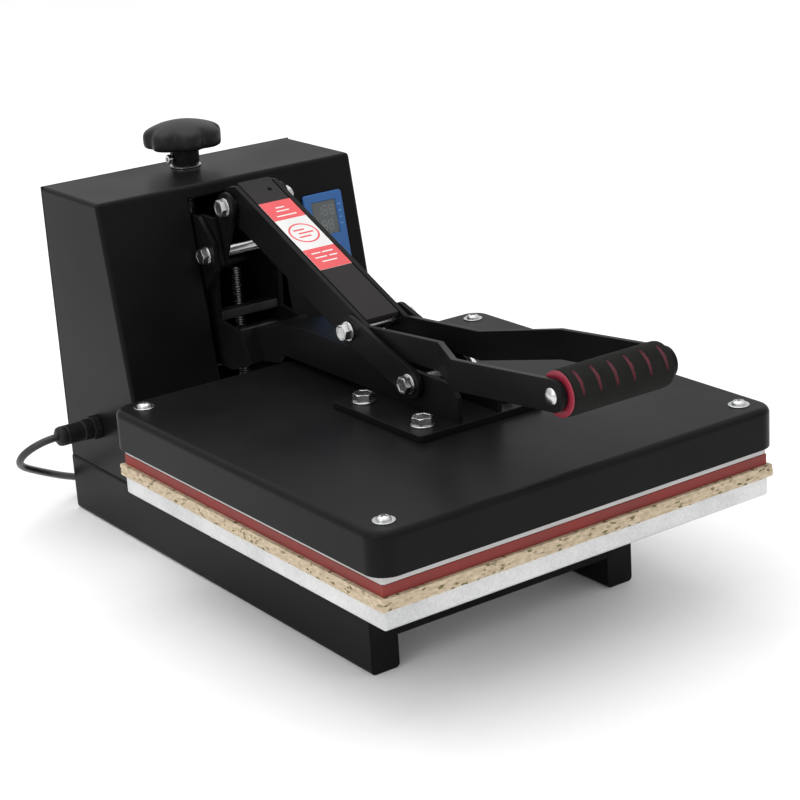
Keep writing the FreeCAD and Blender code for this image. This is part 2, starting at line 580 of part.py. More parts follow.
def link_pivot_bolt():
    """The bolt through the lever and both links; its washers leave the links free to turn."""
    bolt = bolt_through(LINK_TOP, LINK_IN + LINK_T + SIDE_GAP)
    washers = [spacer(LINK_TOP, side, NECK_X + PLATE_T, LINK_IN - SIDE_GAP, BOLT_R) for _, side in SIDES]
    return bolt.fuse(washers).removeSplitter()


def link_plate(side):
    x0, x1 = slab(side, LINK_IN, LINK_T)
    plate = capsule(LINK_TOP, LINK_END, HUB_R, x0, x1)
    return plate.cut([pin(LINK_TOP, x0, x1, BOLT_R + RUN_FIT), pin(LINK_END, x0, x1, BOLT_R)])


def link_end_bolts():
    """The short bolts at the links' lower ends, which bear on the arm's pin."""
    def bolt(side):
        inner, outer = NECK_X + PLATE_T + SIDE_GAP, LINK_IN + LINK_T
        shank = pin(LINK_END, *sorted((side * inner, side * (outer + WASHER_T))), BOLT_R)
        washers = [pin(LINK_END, *sorted((side * a, side * b)), WASHER_R)
                   for a, b in ((inner, LINK_IN), (outer, outer + WASHER_T))]
        head = hexagon(side * (outer + WASHER_T), side * (outer + WASHER_T + BOLT_HEAD), LINK_END, BOLT_AF)
        return shank.fuse(washers + [head]).removeSplitter()
    return both(bolt)


# ---------------------------------------------------------------- pressure knob
def trunnion_nut():
    centre = (KNOB_Y, MAIN_PIVOT[1])
    reach = ROCKER_IN - SIDE_GAP
    body = pin(centre, -reach, reach, TRUNNION_R)
    ends = pin(centre, -reach - SIDE_GAP - ROCKER_T, reach + SIDE_GAP + ROCKER_T, TRUNNION_PIN_R)
    bore = rod((0, KNOB_Y, centre[1] - 20), (0, KNOB_Y, centre[1] + 20), SCREW_R + 0.1)
    return body.fuse(ends).cut(bore).removeSplitter()


def pressure_screw():
    """The screw hangs in the bearing block between two collars, and stands through the housing's top."""
    block_top = UPRIGHT_TOP_Z + 10
    pieces = [rod((0, KNOB_Y, UPRIGHT_TOP_Z - 5), (0, KNOB_Y, UPRIGHT_TOP_Z - SIDE_GAP), 10),
              rod((0, KNOB_Y, block_top + SIDE_GAP), (0, KNOB_Y, block_top + 5), 10),
              rod((0, KNOB_Y, HOUSING_H + SIDE_GAP), (0, KNOB_Y, HOUSING_H + 2), 17)]
    return rod((0, KNOB_Y, 230), (0, KNOB_Y, KNOB_BASE_Z), SCREW_R).fuse(pieces).removeSplitter()


def star_knob():
    neck = rod((0, KNOB_Y, HOUSING_H + 2), (0, KNOB_Y, KNOB_BASE_Z), KNOB_NECK_R)
    hub = rod((0, KNOB_Y, KNOB_BASE_Z), (0, KNOB_Y, KNOB_RIM_Z), KNOB_R - LOBE_R + 1.5)
    lobes = []
    for k in range(KNOB_LOBES):
        turn = 2 * math.pi * k / KNOB_LOBES
        x = (KNOB_R - LOBE_R) * math.cos(turn)
        y = KNOB_Y + (KNOB_R - LOBE_R) * math.sin(turn)
        lobes.append(rod((x, y, KNOB_BASE_Z), (x, y, KNOB_RIM_Z), LOBE_R))
    crown = dome((0, KNOB_Y, KNOB_RIM_Z), Z, KNOB_R - LOBE_R - 6, KNOB_TOP_Z - KNOB_RIM_Z, 1.0)
    set_screw = rod((-KNOB_NECK_R - 3, KNOB_Y, 324), (-KNOB_NECK_R + 2, KNOB_Y, 324), 3.0)
    knob = neck.fuse([hub, crown, set_screw] + lobes)
    return knob.cut(rod((0, KNOB_Y, HOUSING_H + 2), (0, KNOB_Y, KNOB_BASE_Z), SCREW_R)).removeSplitter()


# ---------------------------------------------------------------- control panel
PANEL_TOP = up_slope(PANEL_TOP_Z)
DISPLAY_TOP = up_slope(DISPLAY_TOP_Z)


def button_places():
    """(x, distance up the slope) of the four buttons, below the display."""
    top = DISPLAY_TOP - DISPLAY_LEN - BUTTON_DROP
    return [(PANEL_X + sx * BUTTON_DX, top - row * BUTTON_PITCH) for row in (0, 1) for sx in (-1, 1)]


def control_panel_bezel():
    plate = box(PANEL_X - PANEL_W / 2, PANEL_X + PANEL_W / 2, -PANEL_T, 0, PANEL_TOP - PANEL_LEN, PANEL_TOP)
    plate = round_edges(plate, PANEL_R, lambda edge: along(edge, Y))
    window = box(PANEL_X - DISPLAY_W / 2, PANEL_X + DISPLAY_W / 2, -5, 1,
                 DISPLAY_TOP - DISPLAY_LEN, DISPLAY_TOP)
    holes = [rod((x, -5, v), (x, 1, v), BUTTON_R + BUTTON_CLEAR) for x, v in button_places()]
    return on_front(plate.cut([window] + holes))


def display_window():
    return on_front(box(PANEL_X - DISPLAY_W / 2, PANEL_X + DISPLAY_W / 2, -PANEL_T + 0.5, -0.4,
                        DISPLAY_TOP - DISPLAY_LEN, DISPLAY_TOP))


def control_board():
    inset = 6
    board = box(PANEL_X - PANEL_W / 2 + inset, PANEL_X + PANEL_W / 2 - inset, 6.0, 7.6,
                PANEL_TOP - PANEL_LEN + inset, PANEL_TOP - inset)
    module = box(PANEL_X - DISPLAY_W / 2 + 1, PANEL_X + DISPLAY_W / 2 - 1, -0.4, 6.0,
                 DISPLAY_TOP - DISPLAY_LEN + 1, DISPLAY_TOP - 1)
    switches = [box(x - 3, x + 3, 3.0, 6.0, v - 3, v + 3) for x, v in button_places()]
    return on_front(board.fuse([module] + switches).removeSplitter())


def panel_button(x, v):
    cap = rod((x, -PANEL_T - 1.4, v), (x, 1.8, v), BUTTON_R)
    cap = round_edges(cap, 0.6, lambda edge: edge.BoundBox.YMax < -PANEL_T - 1.3)
    return on_front(cap)


# ---------------------------------------------------------------- mains inlet, switch and relay
GLAND_THREAD_R = 8.0
SWITCH_Y, SWITCH_Z = 262.0, 99.0
SWITCH_BODY_W, SWITCH_BODY_H, SWITCH_FLANGE = 14.0, 26.0, 2.0


def switch_y(width):
    return SWITCH_Y - width / 2, SWITCH_Y + width / 2


def switch_z(height):
    return SWITCH_Z - height / 2, SWITCH_Z + height / 2


def cable_gland():
    """Threaded barrel through the wall, a hex body and nut either side, and a domed clamp round the cord."""
    y, z, wall = GLAND_Y, GLAND_Z, -HALF_W
    barrel = rod((wall + 12, y, z), (wall - 22, y, z), GLAND_THREAD_R)
    body = hexagon(wall - 8, wall, (y, z), 20)
    lock = hexagon(wall + HOUSING_T, wall + HOUSING_T + 5, (y, z), 20)
    clamp = rod((wall - 15, y, z), (wall - 43, y, z), 9.8)
    clamp = round_edges(clamp, 3.5, lambda edge: edge.BoundBox.XMax < wall - 42.9)
    grip_ring = rod((wall - 8, y, z), (wall - 16, y, z), 11)
    bore = rod((wall + 20, y, z), (wall - 60, y, z), CORD_R)
    return barrel.fuse([body, lock, clamp, grip_ring]).cut(bore).removeSplitter()


def power_switch_body():
    body = box(HALF_W - 16, HALF_W, *switch_y(SWITCH_BODY_W), *switch_z(SWITCH_BODY_H))
    flange = box(HALF_W, HALF_W + 2, *switch_y(SWITCH_BODY_W + 2 * SWITCH_FLANGE),
                 *switch_z(SWITCH_BODY_H + 2 * SWITCH_FLANGE))
    recess = box(HALF_W - 9, HALF_W + 3, *switch_y(SWITCH_BODY_W - 3), *switch_z(SWITCH_BODY_H - 3))
    return body.fuse(flange).cut(recess).removeSplitter()


def power_switch_rocker():
    """A shallow V paddle on a cross pin: it rests with its lower half out."""
    depth, half_h = 6.0, (SWITCH_BODY_H - 3) / 2 - 1.2
    profile = [(-2.0, -half_h), (2.4, -half_h), (1.2, 0), (2.4, half_h), (-2.0, half_h), (-depth, 0)]
    points = [V(px, 0, pz) for px, pz in profile]
    width = SWITCH_BODY_W - 3 - 1.0
    paddle = Part.Face(Part.makePolygon(points + points[:1])).extrude(V(0, width, 0))
    paddle = paddle.fuse(rod((0, -0.3, 0), (0, width + 0.3, 0), 1.1)).removeSplitter()
    paddle.rotate(V(0, 0, 0), Y, 8.0)
    paddle.translate(V(HALF_W + 0.6, SWITCH_Y - width / 2, SWITCH_Z))
    return paddle


def heater_relay():
    body = centred(45, 58, 24, -82, 255, FLOOR_IN_HOUSING)
    terminals = [centred(8, 6, 4, -82 + dx, 255 + dy, FLOOR_IN_HOUSING + 24)
                 for dx in (-12, 12) for dy in (-22, 22)]
    return body.fuse(terminals).removeSplitter()


# ---------------------------------------------------------------- mains cord
CORD_EXIT = (-HALF_W - 43.0, GLAND_Y, GLAND_Z)
CORD_ROUTE = [CORD_EXIT, (-183.0, 260.5, 99.0), (-192.5, 262.8, 96.9), (-201.4, 268.7, 91.5),
              (-206.3, 276.8, 84.2), (-206.3, 285.7, 76.2), (-201.6, 293.9, 68.8), (-193.2, 301.3, 62.1),
              (-182.4, 309.1, 55.2), (-169.3, 318.5, 47.1), (-155.2, 328.2, 38.7), (-140.2, 338.2, 30.1),
              (-124.0, 348.5, 21.7), (-106.6, 359.1, 13.6), (-86.4, 369.9, 7.4), (-62.0, 378.5, 4.3),
              (-36.0, 383.3, 3.9), (-12.0, 384.0, 3.9), (12.0, 382.4, 4.1)]
TAIL_ROUTE = [(10.0, 379.6, 11.3), (36.0, 380.5, 10.8), (60.0, 385.5, 7.4), (83.0, 395.0, 4.6),
              (103.0, 409.0, 5.6), (120.0, 425.0, 9.0)]


def cord_tube(route):
    """A round tube along straight runs joined by tangent arcs, each as large as its runs allow."""
    points = [V(*p) for p in route]
    edges, start, radii = [], points[0], []
    for before, here, after in zip(points, points[1:], points[2:]):
        into, out = (here - before), (after - here)
        shorter = min(into.Length, out.Length)
        into.normalize()
        out.normalize()
        turn = into.getAngle(out)
        radius = 0.45 * shorter / math.tan(turn / 2)
        setback = 0.45 * shorter
        a, b = here - into * setback, here + out * setback
        inward = (out - into).normalize()
        centre = here + inward * (radius / math.cos(turn / 2))
        middle = centre - inward * radius
        edges += [Part.LineSegment(start, a).toShape(), Part.Arc(a, middle, b).toShape()]
        start = b
        radii.append(round(radius, 1))
    edges.append(Part.LineSegment(start, points[-1]).toShape())
    path = Part.Wire(edges)
    ring = Part.Wire(Part.makeCircle(CORD_R, points[0], points[1] - points[0]))
    tube = path.makePipeShell([ring], True, True)
    print("cord radii", radii, "length", round(path.Length, 1), "volume ratio",
          round(tube.Volume / (math.pi * CORD_R ** 2 * path.Length), 5))
    return tube


def cord_coil():
    outer = rod((COIL_X, COIL_Y, 0.2), (COIL_X, COIL_Y, COIL_H + 0.2), COIL_OUTER_R)
    outer = round_edges(outer, 3.0, lambda edge: True)
    inner = rod((COIL_X, COIL_Y, 0), (COIL_X, COIL_Y, COIL_H + 1), COIL_INNER_R)
    return outer.cut(inner)


def mains_plug():
    """A moulded plug lying on its side: body, tapered strain relief and two blades with a round earth pin."""
    end, before = V(*TAIL_ROUTE[-1]), V(*TAIL_ROUTE[-2])
    axis = V(end.x - before.x, end.y - before.y, 0).normalize()
    frame = FreeCAD.Placement(V(end.x, end.y, 13.5), FreeCAD.Rotation(X, axis))
    relief = Part.makeCone(5.0, 7.5, 20, V(-3, 0, -4.5), X)
    body = round_edges(box(14, 46, -13, 13, -12, 10), 4.0, lambda edge: along(edge, X))
    blades = [box(46, 64, s * 6.5 - 0.75, s * 6.5 + 0.75, -4, 2.5) for s in (-1, 1)]
    earth = rod((46, 0, 5), (66, 0, 5), 2.4)
    plug = body.fuse([relief, earth] + blades).removeSplitter()
    plug.Placement = frame
    return plug


# ---------------------------------------------------------------- write every node
def main():
    os.makedirs("parts", exist_ok=True)
    for name, side in SIDES:
        save(f"base_rail_{name}", base_rail(side))
        save(f"upright_{name}", upright(side))
        save(f"arm_side_{name}", *arm_side(side))
        save(f"lever_side_{name}", lever_side(side))
        save(f"fork_bar_{name}", fork_bar(side))
    for make in (base_front_cross_member, base_plate, screw_bearing_block, main_bolt, housing_shell,
                 housing_rear_cover, lower_tray, press_board, silicone_pad, heating_plate, heating_element,
                 insulation_mat, platen_cover, bracket_plate, lever_top_plate, lever_label, grip_rod,
                 foam_grip, lever_pivot_bolt, link_pivot_bolt, trunnion_nut, pressure_screw, star_knob,
                 control_panel_bezel, display_window, control_board, cable_gland, power_switch_body,
                 power_switch_rocker, heater_relay, cord_coil, mains_plug):
        save(make.__name__, make())
    for make in (upright_tie_bars, housing_screws, board_screws, tray_standoffs, cover_screws,
                 bracket_bolts, arm_cross_plates, arm_cross_bars, lift_springs, link_end_bolts):
        save(make.__name__, *make())
    save("rocker_plates", *both(rocker_plate))
    save("link_plates", *both(link_plate))
    for number, place in enumerate(button_places(), 1):
        save(f"panel_button_{number}", panel_button(*place))
    save("mains_cord", cord_tube(CORD_ROUTE), cord_tube(TAIL_ROUTE))


main()
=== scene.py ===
import json
import math
import bpy
import bmesh
from mathutils import Matrix, Vector, noise

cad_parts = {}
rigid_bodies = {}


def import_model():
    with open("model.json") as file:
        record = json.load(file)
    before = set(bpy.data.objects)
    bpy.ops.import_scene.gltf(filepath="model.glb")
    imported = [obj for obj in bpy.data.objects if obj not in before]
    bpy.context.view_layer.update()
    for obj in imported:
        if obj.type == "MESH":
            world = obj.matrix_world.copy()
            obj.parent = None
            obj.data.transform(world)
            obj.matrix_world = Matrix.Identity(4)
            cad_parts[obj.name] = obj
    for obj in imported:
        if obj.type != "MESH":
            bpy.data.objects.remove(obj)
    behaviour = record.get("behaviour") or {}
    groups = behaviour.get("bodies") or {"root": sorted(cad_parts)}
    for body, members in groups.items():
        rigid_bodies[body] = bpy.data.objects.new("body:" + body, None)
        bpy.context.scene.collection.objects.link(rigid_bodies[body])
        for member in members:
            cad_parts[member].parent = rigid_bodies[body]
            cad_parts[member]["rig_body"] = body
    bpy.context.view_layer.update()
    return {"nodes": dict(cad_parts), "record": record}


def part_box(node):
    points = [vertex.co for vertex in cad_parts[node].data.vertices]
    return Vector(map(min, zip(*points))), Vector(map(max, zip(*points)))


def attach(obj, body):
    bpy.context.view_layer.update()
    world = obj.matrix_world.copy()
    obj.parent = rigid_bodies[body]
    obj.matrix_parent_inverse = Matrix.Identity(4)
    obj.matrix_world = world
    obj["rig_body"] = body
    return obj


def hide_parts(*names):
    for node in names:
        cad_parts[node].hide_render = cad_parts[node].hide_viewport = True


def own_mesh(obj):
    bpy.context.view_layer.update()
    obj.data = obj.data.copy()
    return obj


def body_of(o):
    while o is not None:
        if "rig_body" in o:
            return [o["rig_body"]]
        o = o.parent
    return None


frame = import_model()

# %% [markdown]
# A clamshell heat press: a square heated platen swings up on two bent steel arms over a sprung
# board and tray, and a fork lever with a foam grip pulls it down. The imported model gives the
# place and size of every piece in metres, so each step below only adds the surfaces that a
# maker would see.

MM = 0.001
record = frame["record"]
slot_of = {part["node"]: part["material_slot"] for part in record["subparts"]}
body_with = {node: body for body, nodes in record["behaviour"]["bodies"].items() for node in nodes}
print("pieces from the packed model:", len(slot_of), "bodies:", len(set(body_with.values())))

# %% [markdown]
# The camera stands to the left of the operator and a little above the platen, close enough to
# the side that the left rail and the lever's flank both show. A long lens keeps the square
# platen from looking like a wedge. The camera is written as three directions (right, up and
# back), because that is how a camera on a slightly tipped head is measured.

# %% The camera
yaw, pitch, roll = (math.radians(a) for a in (34.5478, -18.7652, -3.6653))
forward = Vector((math.sin(yaw) * math.cos(pitch), math.cos(yaw) * math.cos(pitch), math.sin(pitch)))
level = Vector((math.cos(yaw), -math.sin(yaw), 0))
upward = level.cross(forward)
across = level * math.cos(roll) + upward * math.sin(roll)
over = upward * math.cos(roll) - level * math.sin(roll)
camera = bpy.data.objects.new("camera", bpy.data.cameras.new("camera"))
bpy.context.scene.collection.objects.link(camera)
camera.matrix_world = Matrix.Translation((-0.95115, -1.41901, 0.73289)) @ Matrix(
    (across, over, -forward)).transposed().to_4x4()
camera.data.lens = 94.895
camera.data.sensor_width = 36
bpy.context.scene.camera = camera
print("camera looks along", [round(v, 3) for v in forward])

# %% [markdown]
# The mains lead is about 1.42 m of round 7 mm rubber cable. It leaves the gland straight, turns
# back and down in one easy loop, lies on the bench behind the press, and is wound up there in
# a two-layer coil of four turns with the plug beside it. One NURBS curve carries the whole
# lead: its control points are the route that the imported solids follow, and the turns of the
# coil are more points of the same curve, so the lead has one true length. The bevel is one
# metre deep and each point's radius scales it to 3.5 mm, which keeps the curve's box tight.

# %% The mains lead
lead_in = [(-178, 260.5, 99), (-183, 260.5, 99), (-192.5, 262.8, 96.9), (-201.4, 268.7, 91.5),
           (-206.3, 276.8, 84.2), (-206.3, 285.7, 76.2), (-201.6, 293.9, 68.8), (-193.2, 301.3, 62.1),
           (-182.4, 309.1, 55.2), (-169.3, 318.5, 47.1), (-155.2, 328.2, 38.7), (-140.2, 338.2, 30.1),
           (-124, 348.5, 21.7), (-106.6, 359.1, 13.6), (-86.4, 369.9, 7.4), (-62, 378.5, 4.3),
           (-36, 383.3, 3.9), (-12, 384, 3.9), (12, 382.4, 4.1)]
lead_out = [(10, 379.6, 11.3), (36, 380.5, 10.8), (60, 385.5, 7.4), (83, 395, 4.6), (103, 409, 5.6),
            (120, 425, 9)]


def eased(value, start, end):
    """0 before start, 1 after end, and a smooth step between them."""
    t = min(1, max(0, (value - start) / (end - start)))
    return t * t * (3 - 2 * t)


turns = []
for degree in range(22, 1420, 22):
    inward = eased(degree, 300, 360) - eased(degree, 1020, 1080)
    radius = 43.6 - 7.4 * inward + 3.0 * eased(degree, 1385, 1440)
    lift = 4.1 + 7.2 * eased(degree, 625, 690)
    angle = math.radians(degree - 90)
    turns.append((10 + radius * math.cos(angle), 425 + radius * math.sin(angle), lift))

curve = bpy.data.curves.new("mains_lead", "CURVE")
curve.dimensions = "3D"
curve.bevel_depth = 1.0
curve.bevel_resolution = 5
curve.resolution_u = 5
curve.use_fill_caps = True
route = lead_in + turns + lead_out
spline = curve.splines.new("NURBS")
spline.points.add(len(route) - 1)
for point, place in zip(spline.points, route):
    point.co = (*(Vector(place) * MM), 1)
    point.radius = 3.5 * MM
spline.order_u = 3
spline.use_endpoint_u = True
mains_lead = bpy.data.objects.new("mains_lead", curve)
bpy.context.scene.collection.objects.link(mains_lead)
bare = curve.copy()
bare.bevel_depth = 0
line = bpy.data.meshes.new_from_object(bpy.data.objects.new("measure", bare))
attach(mains_lead, "frame")
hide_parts("mains_cord", "cord_coil")

# %% [markdown]
# A finish is a small node tree. Powder coat, foam, chipboard and brushed plate differ mostly in
# three things: how the colour wanders, how the gloss wanders, and how the surface is pitted.
# One helper lays those three down from noise on Object coordinates, which are metres here, so a
# scale of 400 gives a grain of about 2.5 mm. Constants go straight on the shader's sockets.

# %% A helper for finishes
finishes = {}


def finish(name, colour, other=None, metal=0.0, rough=(0.4, 0.5), grain=400.0, relief=0.05, patch=12.0,
           stretch=(1, 1, 1), coat=0.0, specular=0.5):
    """A material whose colour, gloss and relief wander: patch sets the wide changes, grain the fine ones."""
    material = bpy.data.materials.new(name)
    material.use_nodes = True
    nodes, links = material.node_tree.nodes, material.node_tree.links
    shader = nodes["Principled BSDF"]
    place = nodes.new("ShaderNodeTexCoord")
    mapping = nodes.new("ShaderNodeMapping")
    mapping.inputs["Scale"].default_value = stretch
    links.new(place.outputs["Object"], mapping.inputs["Vector"])

    def cloud(scale, detail):
        texture = nodes.new("ShaderNodeTexNoise")
        texture.inputs["Scale"].default_value = scale
        texture.inputs["Detail"].default_value = detail
        links.new(mapping.outputs["Vector"], texture.inputs["Vector"])
        return texture

    wide, fine = cloud(patch, 4), cloud(grain, 2)
    tint = nodes.new("ShaderNodeValToRGB")
    tint.color_ramp.elements[0].position = 0.35
    tint.color_ramp.elements[0].color = (*colour, 1)
    tint.color_ramp.elements[1].position = 0.68
    tint.color_ramp.elements[1].color = (*(other or [c * 1.25 for c in colour]), 1)
    mixed = nodes.new("ShaderNodeMath")
    mixed.operation = "MULTIPLY_ADD"
    mixed.inputs[1].default_value = 0.35
    links.new(fine.outputs["Fac"], mixed.inputs[0])
    lower = nodes.new("ShaderNodeMath")
    lower.operation = "MULTIPLY"
    lower.inputs[1].default_value = 0.65
    links.new(wide.outputs["Fac"], lower.inputs[0])
    links.new(lower.outputs[0], mixed.inputs[2])
    links.new(mixed.outputs[0], tint.inputs["Fac"])
    links.new(tint.outputs["Color"], shader.inputs["Base Color"])
    gloss = nodes.new("ShaderNodeMapRange")
    gloss.inputs["To Min"].default_value, gloss.inputs["To Max"].default_value = rough
    gloss.inputs["From Min"].default_value, gloss.inputs["From Max"].default_value = 0.3, 0.7
    links.new(wide.outputs["Fac"], gloss.inputs["Value"])
    links.new(gloss.outputs["Result"], shader.inputs["Roughness"])
    bump = nodes.new("ShaderNodeBump")
    bump.inputs["Strength"].default_value = relief
    bump.inputs["Distance"].default_value = 0.0006
    links.new(fine.outputs["Fac"], bump.inputs["Height"])
    links.new(bump.outputs["Normal"], shader.inputs["Normal"])
    shader.inputs["Metallic"].default_value = metal
    shader.inputs["Coat Weight"].default_value = coat
    shader.inputs["Specular IOR Level"].default_value = specular
    finishes[name] = material
    return material


# %% [markdown]
# The painted steel is powder coated: a thick satin film with a faint orange peel. The platen
# cover and housing are nearly black, the lever a little browner. Bolts and links are zinc
# plated, the heated plate is milled aluminium drawn one way, and the tray is galvanised sheet
# with soft grey clouds. Sponge, rubber and moulded plastics differ in gloss and grain.

# %% The painted and plated finishes
finish("black_powder_coat", (0.0045, 0.0045, 0.005), (0.0080, 0.0080, 0.0085), rough=(0.30, 0.42), grain=900,
       relief=0.10, patch=9, specular=0.08)
finish("lever_paint", (0.012, 0.0108, 0.0108), (0.022, 0.019, 0.019), rough=(0.36, 0.48), grain=900, relief=0.10,
       patch=14, specular=0.10)
finish("zinc", (0.52, 0.53, 0.54), (0.70, 0.70, 0.69), metal=1, rough=(0.18, 0.34), grain=1500, relief=0.05,
       patch=60)
finish("dark_steel", (0.05, 0.05, 0.055), (0.10, 0.10, 0.105), metal=1, rough=(0.34, 0.5), grain=1200,
       relief=0.08, patch=40)
finish("spring_steel", (0.36, 0.36, 0.37), (0.52, 0.51, 0.49), metal=1, rough=(0.25, 0.38), grain=1500,
       relief=0.04, patch=70)
finish("aluminium_plate", (0.38, 0.37, 0.365), (0.52, 0.51, 0.50), metal=0.7, rough=(0.28, 0.42), grain=700,
       relief=0.12, patch=30, stretch=(0.05, 1, 1))
finish("tray_metal", (0.50, 0.505, 0.51), (0.72, 0.72, 0.715), metal=0.55, rough=(0.26, 0.40), grain=500,
       relief=0.05, patch=16)

# %% The soft, moulded and printed finishes
finish("red_silicone", (0.185, 0.018, 0.013), (0.26, 0.030, 0.022), rough=(0.55, 0.72), grain=1100, relief=0.22,
       patch=30)
finish("foam", (0.008, 0.008, 0.0075), (0.016, 0.016, 0.015), rough=(0.72, 0.9), grain=1300, relief=0.6, patch=60,
       specular=0.08)
finish("grip_red", (0.21, 0.011, 0.028), (0.32, 0.020, 0.046), rough=(0.35, 0.5), grain=900, relief=0.1, patch=60)
finish("groove_red", (0.075, 0.007, 0.015), (0.13, 0.011, 0.026), rough=(0.6, 0.75), grain=1100, relief=0.3,
       patch=80)
finish("knob_plastic", (0.006, 0.006, 0.0065), (0.011, 0.011, 0.0115), rough=(0.34, 0.44), grain=1300, relief=0.10,
       patch=30, specular=0.2)
finish("gland_plastic", (0.005, 0.005, 0.0055), (0.010, 0.010, 0.0105), rough=(0.38, 0.5), grain=1200, relief=0.1,
       patch=40, specular=0.2)
finish("cord_rubber", (0.010, 0.010, 0.010), (0.018, 0.018, 0.018), rough=(0.26, 0.40), grain=900, relief=0.08,
       patch=40)
finish("panel_blue", (0.016, 0.105, 0.33), (0.024, 0.14, 0.41), rough=(0.30, 0.42), grain=1300, relief=0.06,
       patch=30)
finish("display_grey", (0.085, 0.095, 0.095), (0.12, 0.13, 0.13), rough=(0.14, 0.22), grain=1500, relief=0.01,
       patch=30, coat=0.2)
finish("digit_dark", (0.02, 0.022, 0.024), (0.035, 0.037, 0.04), rough=(0.3, 0.4), grain=1500, relief=0.02, patch=60)
finish("digit_glow", (0.19, 0.205, 0.21), (0.24, 0.255, 0.26), rough=(0.2, 0.3), grain=1500, relief=0.02, patch=60)
finish("mark_blue", (0.09, 0.24, 0.52), (0.13, 0.30, 0.60), rough=(0.3, 0.4), grain=1500, relief=0.02, patch=60)
finish("button_grey", (0.42, 0.44, 0.46), (0.54, 0.56, 0.58), rough=(0.35, 0.5), grain=1400, relief=0.08, patch=60)
finish("board_green", (0.010, 0.11, 0.045), (0.02, 0.17, 0.07), rough=(0.35, 0.5), grain=900, relief=0.1, patch=60)
finish("mineral_mat", (0.60, 0.57, 0.50), (0.72, 0.69, 0.62), rough=(0.85, 0.95), grain=700, relief=0.6, patch=50)
finish("label_print", (0.62, 0.62, 0.61), (0.70, 0.70, 0.69), rough=(0.28, 0.4), grain=1400, relief=0.03, patch=40)
finish("label_red", (0.60, 0.045, 0.055), (0.70, 0.065, 0.075), rough=(0.28, 0.4), grain=1400, relief=0.03,
       patch=40)
finish("chipboard", (0.40, 0.31, 0.20), (0.66, 0.55, 0.40), rough=(0.75, 0.9), grain=420, relief=0.8, patch=160,
       stretch=(1, 1, 2.2))
print("finishes:", len(finishes))

# %% [markdown]
# Chipboard is pressed from flat chips, so its sawn edge is a beige field with a few dark flecks
# where a chip lies end on. The flecks are cells of a Voronoi pattern: each cell has its own
# random value, and only the rare high ones are let through and laid over the board's colour.

# %% Flecks in the chipboard
board = finishes["chipboard"].node_tree
cells = board.nodes.new("ShaderNodeTexVoronoi")
cells.inputs["Scale"].default_value = 300
fleck = board.nodes.new("ShaderNodeValToRGB")
fleck.color_ramp.elements[0].position = 0.76
fleck.color_ramp.elements[1].position = 0.84
over_board = board.nodes.new("ShaderNodeMixRGB")
over_board.inputs["Color2"].default_value = (0.15, 0.125, 0.055, 1)
ramp = next(n for n in board.nodes if n.bl_idname == "ShaderNodeValToRGB" and n is not fleck and n.outputs[0].links)
mapped = next(n for n in board.nodes if n.bl_idname == "ShaderNodeMapping")
board.links.new(mapped.outputs["Vector"], cells.inputs["Vector"])
board.links.new(cells.outputs["Color"], fleck.inputs["Fac"])
board.links.new(fleck.outputs["Color"], over_board.inputs["Fac"])
board.links.new(ramp.outputs["Color"], over_board.inputs["Color1"])
board.links.new(over_board.outputs["Color"], board.nodes["Principled BSDF"].inputs["Base Color"])
mains_lead.data.materials.append(finishes["cord_rubber"])
for node, thing in frame["nodes"].items():
    thing.data.materials.clear()
    thing.data.materials.append(finishes[slot_of[node]])

# %% [markdown]
# Modelling by hand in Blender is a rhythm: select one object, go into edit mode, pick some faces
# or edges, run an operator, and come out. These few helpers keep that rhythm short. Everything
# is deselected first, because an operator acts on all that is selected, and a finished piece
# has its place in its mesh, so that its patterns sit still.

# %% Helpers for the bench
def only(piece):
    """This piece alone is selected and active."""
    for other in bpy.context.selected_objects:
        other.select_set(False)
    piece.select_set(True)
    bpy.context.view_layer.objects.active = piece
    return piece


def edit(piece, pick="SELECT"):
    only(piece)
    bpy.ops.object.mode_set(mode="EDIT")
    bpy.ops.mesh.select_mode(type="VERT")
    bpy.ops.mesh.select_all(action=pick)


def leave():
    bpy.ops.object.mode_set(mode="OBJECT")


def pick_faces(piece, test):
    """In edit mode, selects the faces whose middle and normal pass the test."""
    bpy.ops.mesh.select_all(action="DESELECT")
    bpy.ops.mesh.select_mode(type="FACE")
    shape = bmesh.from_edit_mesh(piece.data)
    for face in shape.faces:
        face.select_set(bool(test(face.calc_center_median(), face.normal)))
    bmesh.update_edit_mesh(piece.data)


def apply(piece, kind, **settings):
    """Adds one modifier with these settings and applies it."""
    modifier = piece.modifiers.new(kind.lower(), kind)
    for key, value in settings.items():
        setattr(modifier, key, value)
    only(piece)
    bpy.ops.object.modifier_apply(modifier=modifier.name)


def soften(piece, width, steps=2, angle=35):
    """Rounds the sharp edges, smooths the rest, and keeps flat faces flat in the light."""
    if width:
        apply(piece, "BEVEL", width=width * MM, segments=steps, limit_method="ANGLE",
              angle_limit=math.radians(angle), use_clamp_overlap=False)
    only(piece)
    bpy.ops.object.shade_smooth_by_angle(angle=math.radians(40))
    apply(piece, "WEIGHTED_NORMAL", keep_sharp=True)


def hang(piece, body, slot, *nodes, look=None):
    """Names the body that carries a piece, its finish and the plain solids that it stands for."""
    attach(piece, body)
    if not piece.data.materials:
        piece.data.materials.append(finishes[look or slot])
    if nodes:
        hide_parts(*nodes)
    return piece


# %% [markdown]
# Sheet metal is never quite sharp: a laser-cut edge is broken by about half a millimetre, and
# that thin rounded line is what catches the light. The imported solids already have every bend
# and hole, so each one is copied, its loose triangles are merged into whole faces, and a small
# bevel breaks its edges.

